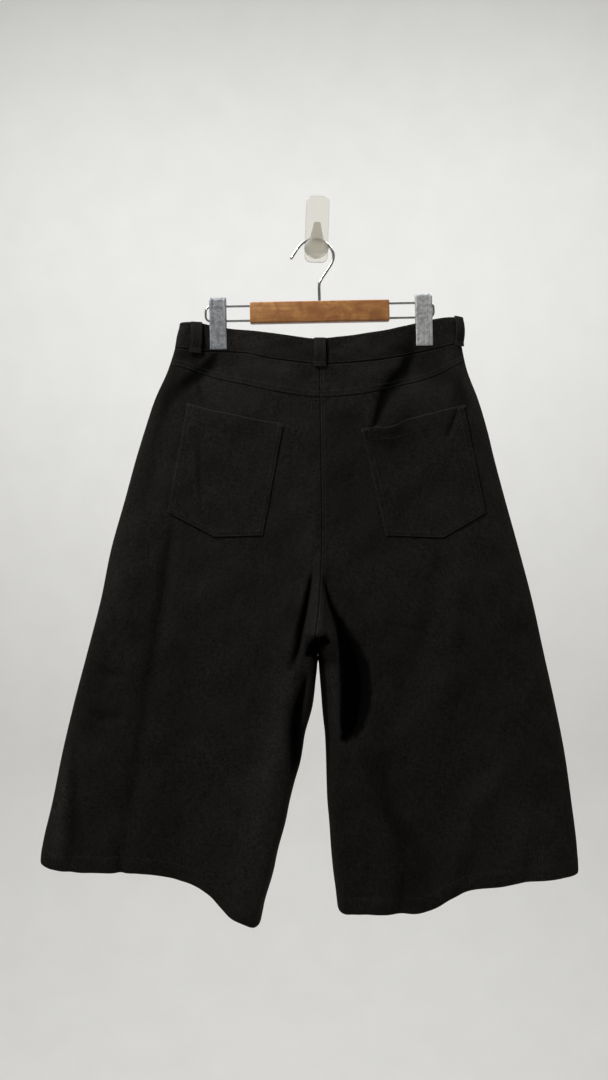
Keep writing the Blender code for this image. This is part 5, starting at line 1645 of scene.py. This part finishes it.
@material("cotton_bull_twill_black")
def twill(add):
    """Heavy black cotton twill, piece-dyed and washed: matt, with faint diagonal ribs and a fine grain
    of lighter and browner yarns. Painted light and shade are mixed into its colour: paler edges, partly
    wear and partly painted highlight; painted lighter and darker strokes across the back; and painted
    black shade down in its deep folds, along seams, inside the legs and beside the loops."""
    cut = add("UVMap", uv_map="cut")
    slanted = add("Mapping", Vector=cut, Rotation=(0, 0, math.radians(27)), Scale=[every(1)] * 3)
    # Real twill lines are about 0.6 mm apart; they are drawn 1.5 mm apart, so that they show.
    ribs = add("TexWave", Vector=slanted, Scale=0.314 / 1.5, Distortion=1.2, Detail=2.0, Detail_Scale=1.6)
    # Single yarns, under 0.5 mm thick, and their grain are drawn 1 to 4 mm across for the same reason.
    along = add("Mapping", Vector=cut, Scale=(every(1.111), every(14.286), 1))
    slubs = add("TexNoise", Vector=along, Scale=1.0, Detail=2.0)
    across = add("Mapping", Vector=cut, Scale=(every(11.111), every(0.909), 1))
    wefts = add("TexNoise", Vector=across, Scale=1.0, Detail=2.0)
    place = add("TexCoord").outputs["Object"]
    grain = add("TexNoise", Vector=place, Scale=every(1.923), Detail=3.0, Roughness=0.7)
    mottle = add("TexNoise", Vector=place, Scale=every(3.846), Detail=2.0, Roughness=0.5)
    cloud = add("TexNoise", Vector=place, Scale=every(62.5), Detail=2.0, Roughness=0.5)
    specks = add("TexNoise", Vector=place, Scale=every(1.4286), Detail=0.0)
    yarn = add("Math", (slubs, wefts), operation="ADD")
    fine = add("Math", (grain, yarn), operation="ADD")
    both = add("Math", (mottle, 1.15, fine), operation="MULTIPLY_ADD")
    shade = add("MapRange", Value=both, From_Min=1.5, From_Max=2.55)
    base = add("Mix", {0: shade, 6: TWILL_DARK, 7: TWILL_LIGHT}, data_type="RGBA").outputs[2]
    wash = add("MapRange", Value=cloud, From_Min=0.3, From_Max=0.75, To_Max=0.5)
    washed = add("Mix", {0: wash, 6: base, 7: TWILL_WASHED}, data_type="RGBA").outputs[2]
    speck = add("MapRange", Value=specks, From_Min=0.76, From_Max=0.84, To_Max=0.25)
    specked = add("Mix", {0: speck, 6: washed, 7: TWILL_PALE}, data_type="RGBA").outputs[2]
    # Wear with painted highlight on edges; painted light and shade across the back; painted shade in folds.
    wear, tone, deep = (add("Attribute", attribute_name=layer).outputs["Fac"]
                        for layer in ("wear", "tone", "deep"))
    wear_and_painted_highlight_share = add("Math", (wear, mottle), operation="MULTIPLY")
    with_wear_and_painted_highlight = add("Mix", {0: wear_and_painted_highlight_share, 6: specked, 7: TWILL_PALE}, data_type="RGBA").outputs[2]
    # Painted light and shade: the colour doubles or halves per step.
    strength = add("Math", (2.0, tone), operation="POWER")
    painted_lit_and_shaded = add("VectorMath", {0: with_wear_and_painted_highlight, "Scale": strength}, operation="SCALE")
    # Painted shade: black down in deep folds, along seams, inside the legs and beside the loops.
    painted_dark = add("Math", (deep, 0.93), operation="MULTIPLY")
    colour = add("Mix", {0: painted_dark, 6: painted_lit_and_shaded, 7: TWILL_PAINTED_SHADE}, data_type="RGBA").outputs[2]
    rib_height = add("Math", (ribs.outputs["Fac"], grain), operation="ADD")
    height = add("Math", (rib_height, yarn), operation="ADD")
    bump = add("Bump", Height=height, Strength=0.6, Distance=0.35 * MM)
    return add("BsdfPrincipled", Base_Color=colour, Roughness=0.95, Specular_IOR_Level=0.04,
               Sheen_Weight=0.007, Sheen_Roughness=0.6, Sheen_Tint=TWILL_SHEEN, Normal=bump)


@material("polyester_thread_black")
def thread(add):
    """Spun polyester topstitching thread, black: tighter and a little shinier than the cloth."""
    place = add("TexCoord").outputs["Object"]
    # The twist of a thread repeats every 0.5 mm; it is drawn coarser, so that it shows.
    twist = add("TexNoise", Vector=place, Scale=every(1.111), Detail=1.0)
    colour = add("Mix", {0: twist, 6: THREAD_DARK, 7: THREAD_LIGHT}, data_type="RGBA").outputs[2]
    bump = add("Bump", Height=twist, Strength=0.4, Distance=0.1 * MM)
    return add("BsdfPrincipled", Base_Color=colour, Roughness=0.7, Specular_IOR_Level=0.15, Normal=bump)


@material("varnished_beech")
def varnished_beech(add):
    """Beech stained golden and sealed with a satin varnish: long fine grain, short dark flecks and
    cloudy stain."""
    place = add("TexCoord").outputs["Object"]
    along = add("Mapping", Vector=place, Scale=(every(62.5), every(4.1667), every(4.1667)))
    grain = add("TexNoise", Vector=along, Scale=1.0, Detail=5.0, Roughness=0.6, Distortion=0.6)
    short = add("Mapping", Vector=place, Scale=(every(4.762), every(1.111), every(1.111)))
    flecks = add("TexNoise", Vector=short, Scale=1.0, Detail=2.0)
    mottle = add("TexNoise", Vector=place, Scale=every(21.739), Detail=3.0, Distortion=1.2)
    colour = BEECH_DARK
    for pattern, low, high, most, tint in ((mottle, 0.36, 0.66, 1.0, BEECH_LIGHT),
                                           (grain, 0.42, 0.62, 0.6, BEECH_GRAIN),
                                           (flecks, 0.6, 0.72, 0.55, BEECH_FLECK)):
        share = add("MapRange", Value=pattern, From_Min=low, From_Max=high, To_Max=most)
        colour = add("Mix", {0: share, 6: colour, 7: tint}, data_type="RGBA").outputs[2]
    bump = add("Bump", Height=grain, Strength=0.25, Distance=0.2 * MM)
    return add("BsdfPrincipled", Base_Color=colour, Roughness=0.42, Coat_Weight=0.35,
               Coat_Roughness=0.25, Normal=bump)


@material("nickel_plated_steel")
def plated_steel(add):
    """Nickel-plated steel wire: bright and smooth, with faint drawing marks."""
    place = add("TexCoord").outputs["Object"]
    marks = add("TexNoise", Vector=place, Scale=every(3.846), Detail=3.0)
    colour = add("Mix", {0: marks, 6: STEEL_DARK, 7: STEEL_LIGHT}, data_type="RGBA").outputs[2]
    rough = add("MapRange", Value=marks, To_Min=0.14, To_Max=0.34)
    return add("BsdfPrincipled", Base_Color=colour, Metallic=1.0, Roughness=rough)


@material("galvanised_sheet_steel_%s")
def galvanised_sheet(add, side):
    """Pressed steel sheet, hot-dip galvanised: dull blue-grey with crystal spangle a few millimetres
    across and fine rolling lines along it."""
    place = add("TexCoord").outputs["Object"]
    spangle = add("TexVoronoi", Vector=place, Scale=every(3.0303), Randomness=1.0)
    grain = add("TexNoise", Vector=place, Scale=every(1.923), Detail=3.0)
    along = add("Mapping", Vector=place, Scale=(every(0.66667), every(0.66667), every(33.333)))
    rolled = add("TexNoise", Vector=along, Scale=1.0, Detail=2.0)
    grey = add("SeparateColor", Color=spangle.outputs["Color"])
    speckle = add("Math", (grey, grain), operation="MULTIPLY")
    shade = add("Math", (speckle, rolled), operation="ADD")
    level = add("MapRange", Value=shade, From_Min=0.45, From_Max=1.1)
    dull, bright = ZINC[side]
    colour = add("Mix", {0: level, 6: dull, 7: bright}, data_type="RGBA").outputs[2]
    rough = add("MapRange", Value=level, To_Min=0.36, To_Max=0.58)
    bump = add("Bump", Height=shade, Strength=0.25, Distance=0.15 * MM)
    return add("BsdfPrincipled", Base_Color=colour, Metallic=0.45, Roughness=rough, Normal=bump)


@material("%s_polycarbonate")
def plastic(add, kind):
    """Injection-moulded polycarbonate, slightly yellowed, with faint scuffs on its faces: the plate is
    clear, and the arm's mould was etched, so it comes out greyer and frosted.

    Light leaves through its sides, so they look darker than its faces.
    """
    colour, rim, smoothest, roughest = POLYCARBONATE[kind]
    around = add("TexCoord")
    facing = add("SeparateXYZ", Vector=around.outputs["Normal"]).outputs["Y"]
    side = add("MapRange", Value=add("Math", [facing], operation="ABSOLUTE"), From_Min=0.9, From_Max=0.4)
    scuffs = add("TexNoise", Vector=around.outputs["Object"], Scale=every(11.111), Detail=4.0)
    rough = add("MapRange", Value=scuffs, From_Min=0.35, From_Max=0.7, To_Min=smoothest, To_Max=roughest)
    tint = add("Mix", {0: side, 6: colour, 7: rim}, data_type="RGBA").outputs[2]
    return add("BsdfPrincipled", Base_Color=tint, Roughness=rough, IOR=1.585, Transmission_Weight=1.0)


@material("urea_button_black")
def moulded_button(add):
    """Urea button, moulded black and tumbled to a soft gloss."""
    place = add("TexCoord").outputs["Object"]
    swirl = add("TexNoise", Vector=place, Scale=every(4.1667), Detail=2.0, Distortion=1.0)
    colour = add("Mix", {0: swirl, 6: BUTTON_DARK, 7: BUTTON_LIGHT}, data_type="RGBA").outputs[2]
    return add("BsdfPrincipled", Base_Color=colour, Roughness=0.32, Coat_Weight=0.2, Coat_Roughness=0.2)


@material("matt_white_paint")
def matt_paint(add):
    """Matt white wall paint and floor, slightly warm."""
    place = add("TexCoord").outputs["Object"]
    roller = add("TexNoise", Vector=place, Scale=every(142.86), Detail=4.0)
    colour = add("Mix", {0: roller, 6: PAINT_DARK, 7: PAINT_LIGHT}, data_type="RGBA").outputs[2]
    return add("BsdfPrincipled", Base_Color=colour, Roughness=0.9)


# ---- Stage, light and camera ---------------------------------------------------------------------
def cyclorama():
    """A pale floor that sweeps up into a far wall."""
    bend = arc((CYC_WALL - CYC_BEND, CYC_FLOOR + CYC_BEND), CYC_BEND, -90, 0, step=6)
    profile = [(-CYC_NEAR, CYC_FLOOR)] + bend + [(CYC_WALL, CYC_TOP)]
    bm = bmesh.new()
    rails = [[bm.verts.new((side * CYC_HALF, y, z)) for y, z in profile] for side in (-1, 1)]
    for i in range(len(profile) - 1):
        bm.faces.new((rails[0][i], rails[1][i], rails[1][i + 1], rails[0][i + 1]))
    mesh = meshed("cyclorama", bm)
    mesh.shade_smooth()
    mesh.materials.append(matt_paint())
    placed("cyclorama", mesh)


def light_and_camera():
    scene = bpy.context.scene
    for name, place, target, size, power, colour in LIGHTS:
        data = bpy.data.lights.new(name, "AREA")
        data.shape = "DISK"
        data.size = size
        data.energy = power
        data.color = linear(colour)[:3]
        lamp = placed(name, data)
        lamp.location = place
        lamp.rotation_euler = (Vector(target) - Vector(place)).to_track_quat("-Z", "Y").to_euler()
    world = bpy.data.worlds.new("soft_room_light")
    world.use_nodes = True
    background = world.node_tree.nodes["Background"]
    background.inputs["Color"].default_value = linear(ROOM_COLOUR)
    background.inputs["Strength"].default_value = ROOM_STRENGTH
    scene.world = world
    scene.view_settings.view_transform = "Standard"
    data = bpy.data.cameras.new("camera")
    data.sensor_fit = "VERTICAL"
    data.sensor_height = 36.0
    data.lens = CAMERA_LENS
    camera = placed("camera", data)
    camera.location = CAMERA_PLACE
    camera.rotation_euler = (math.radians(90), 0, 0)
    scene.camera = camera


# ---- The whole -----------------------------------------------------------------------------------
def culottes():
    """The cut and sewn pieces, and their topstitching."""
    even = with_edge_rows(np.linspace(0, 1, YOKE_ROWS + 1), YOKE_LENGTH)
    even = with_edge_rows(even, YOKE_LENGTH, at_end=True)
    hem = np.linspace(0, 1, HEM_ROWS + 1)
    upper = ("band", "yoke", even)
    for half in ("left", "right"):
        panel("yoke_" + half, "back", half, [upper], has_hem=False)
        below = {}
        for face in ("back", "front"):
            hip = with_edge_rows(1 - np.linspace(1, 0, HIP_ROWS[face] + 1) ** HIP_CROWDING, HIP_LENGTH)
            leg = np.linspace(0, 1, LEG_ROWS[face] + 1) ** LEG_CROWDING
            below[face] = [("yoke", "crotch", hip), ("crotch", "hem_fold", leg), ("hem_fold", "hem", hem)]
        panel("back_leg_" + half, "back", half, below["back"])
        panel("front_leg_" + half, "front", half, [upper] + below["front"])
        pocket(half)
    fly()
    rows, points, normal, middle = band_skin()
    waistband(rows, points, normal)
    button = waist_button(points[:, middle + LAP_COLUMNS // 2].mean(axis=0))
    stitches(band_rows(rows, points, normal), belt_loops(), button)


culottes()
hanger()
wall_hook()
cyclorama()
light_and_camera()
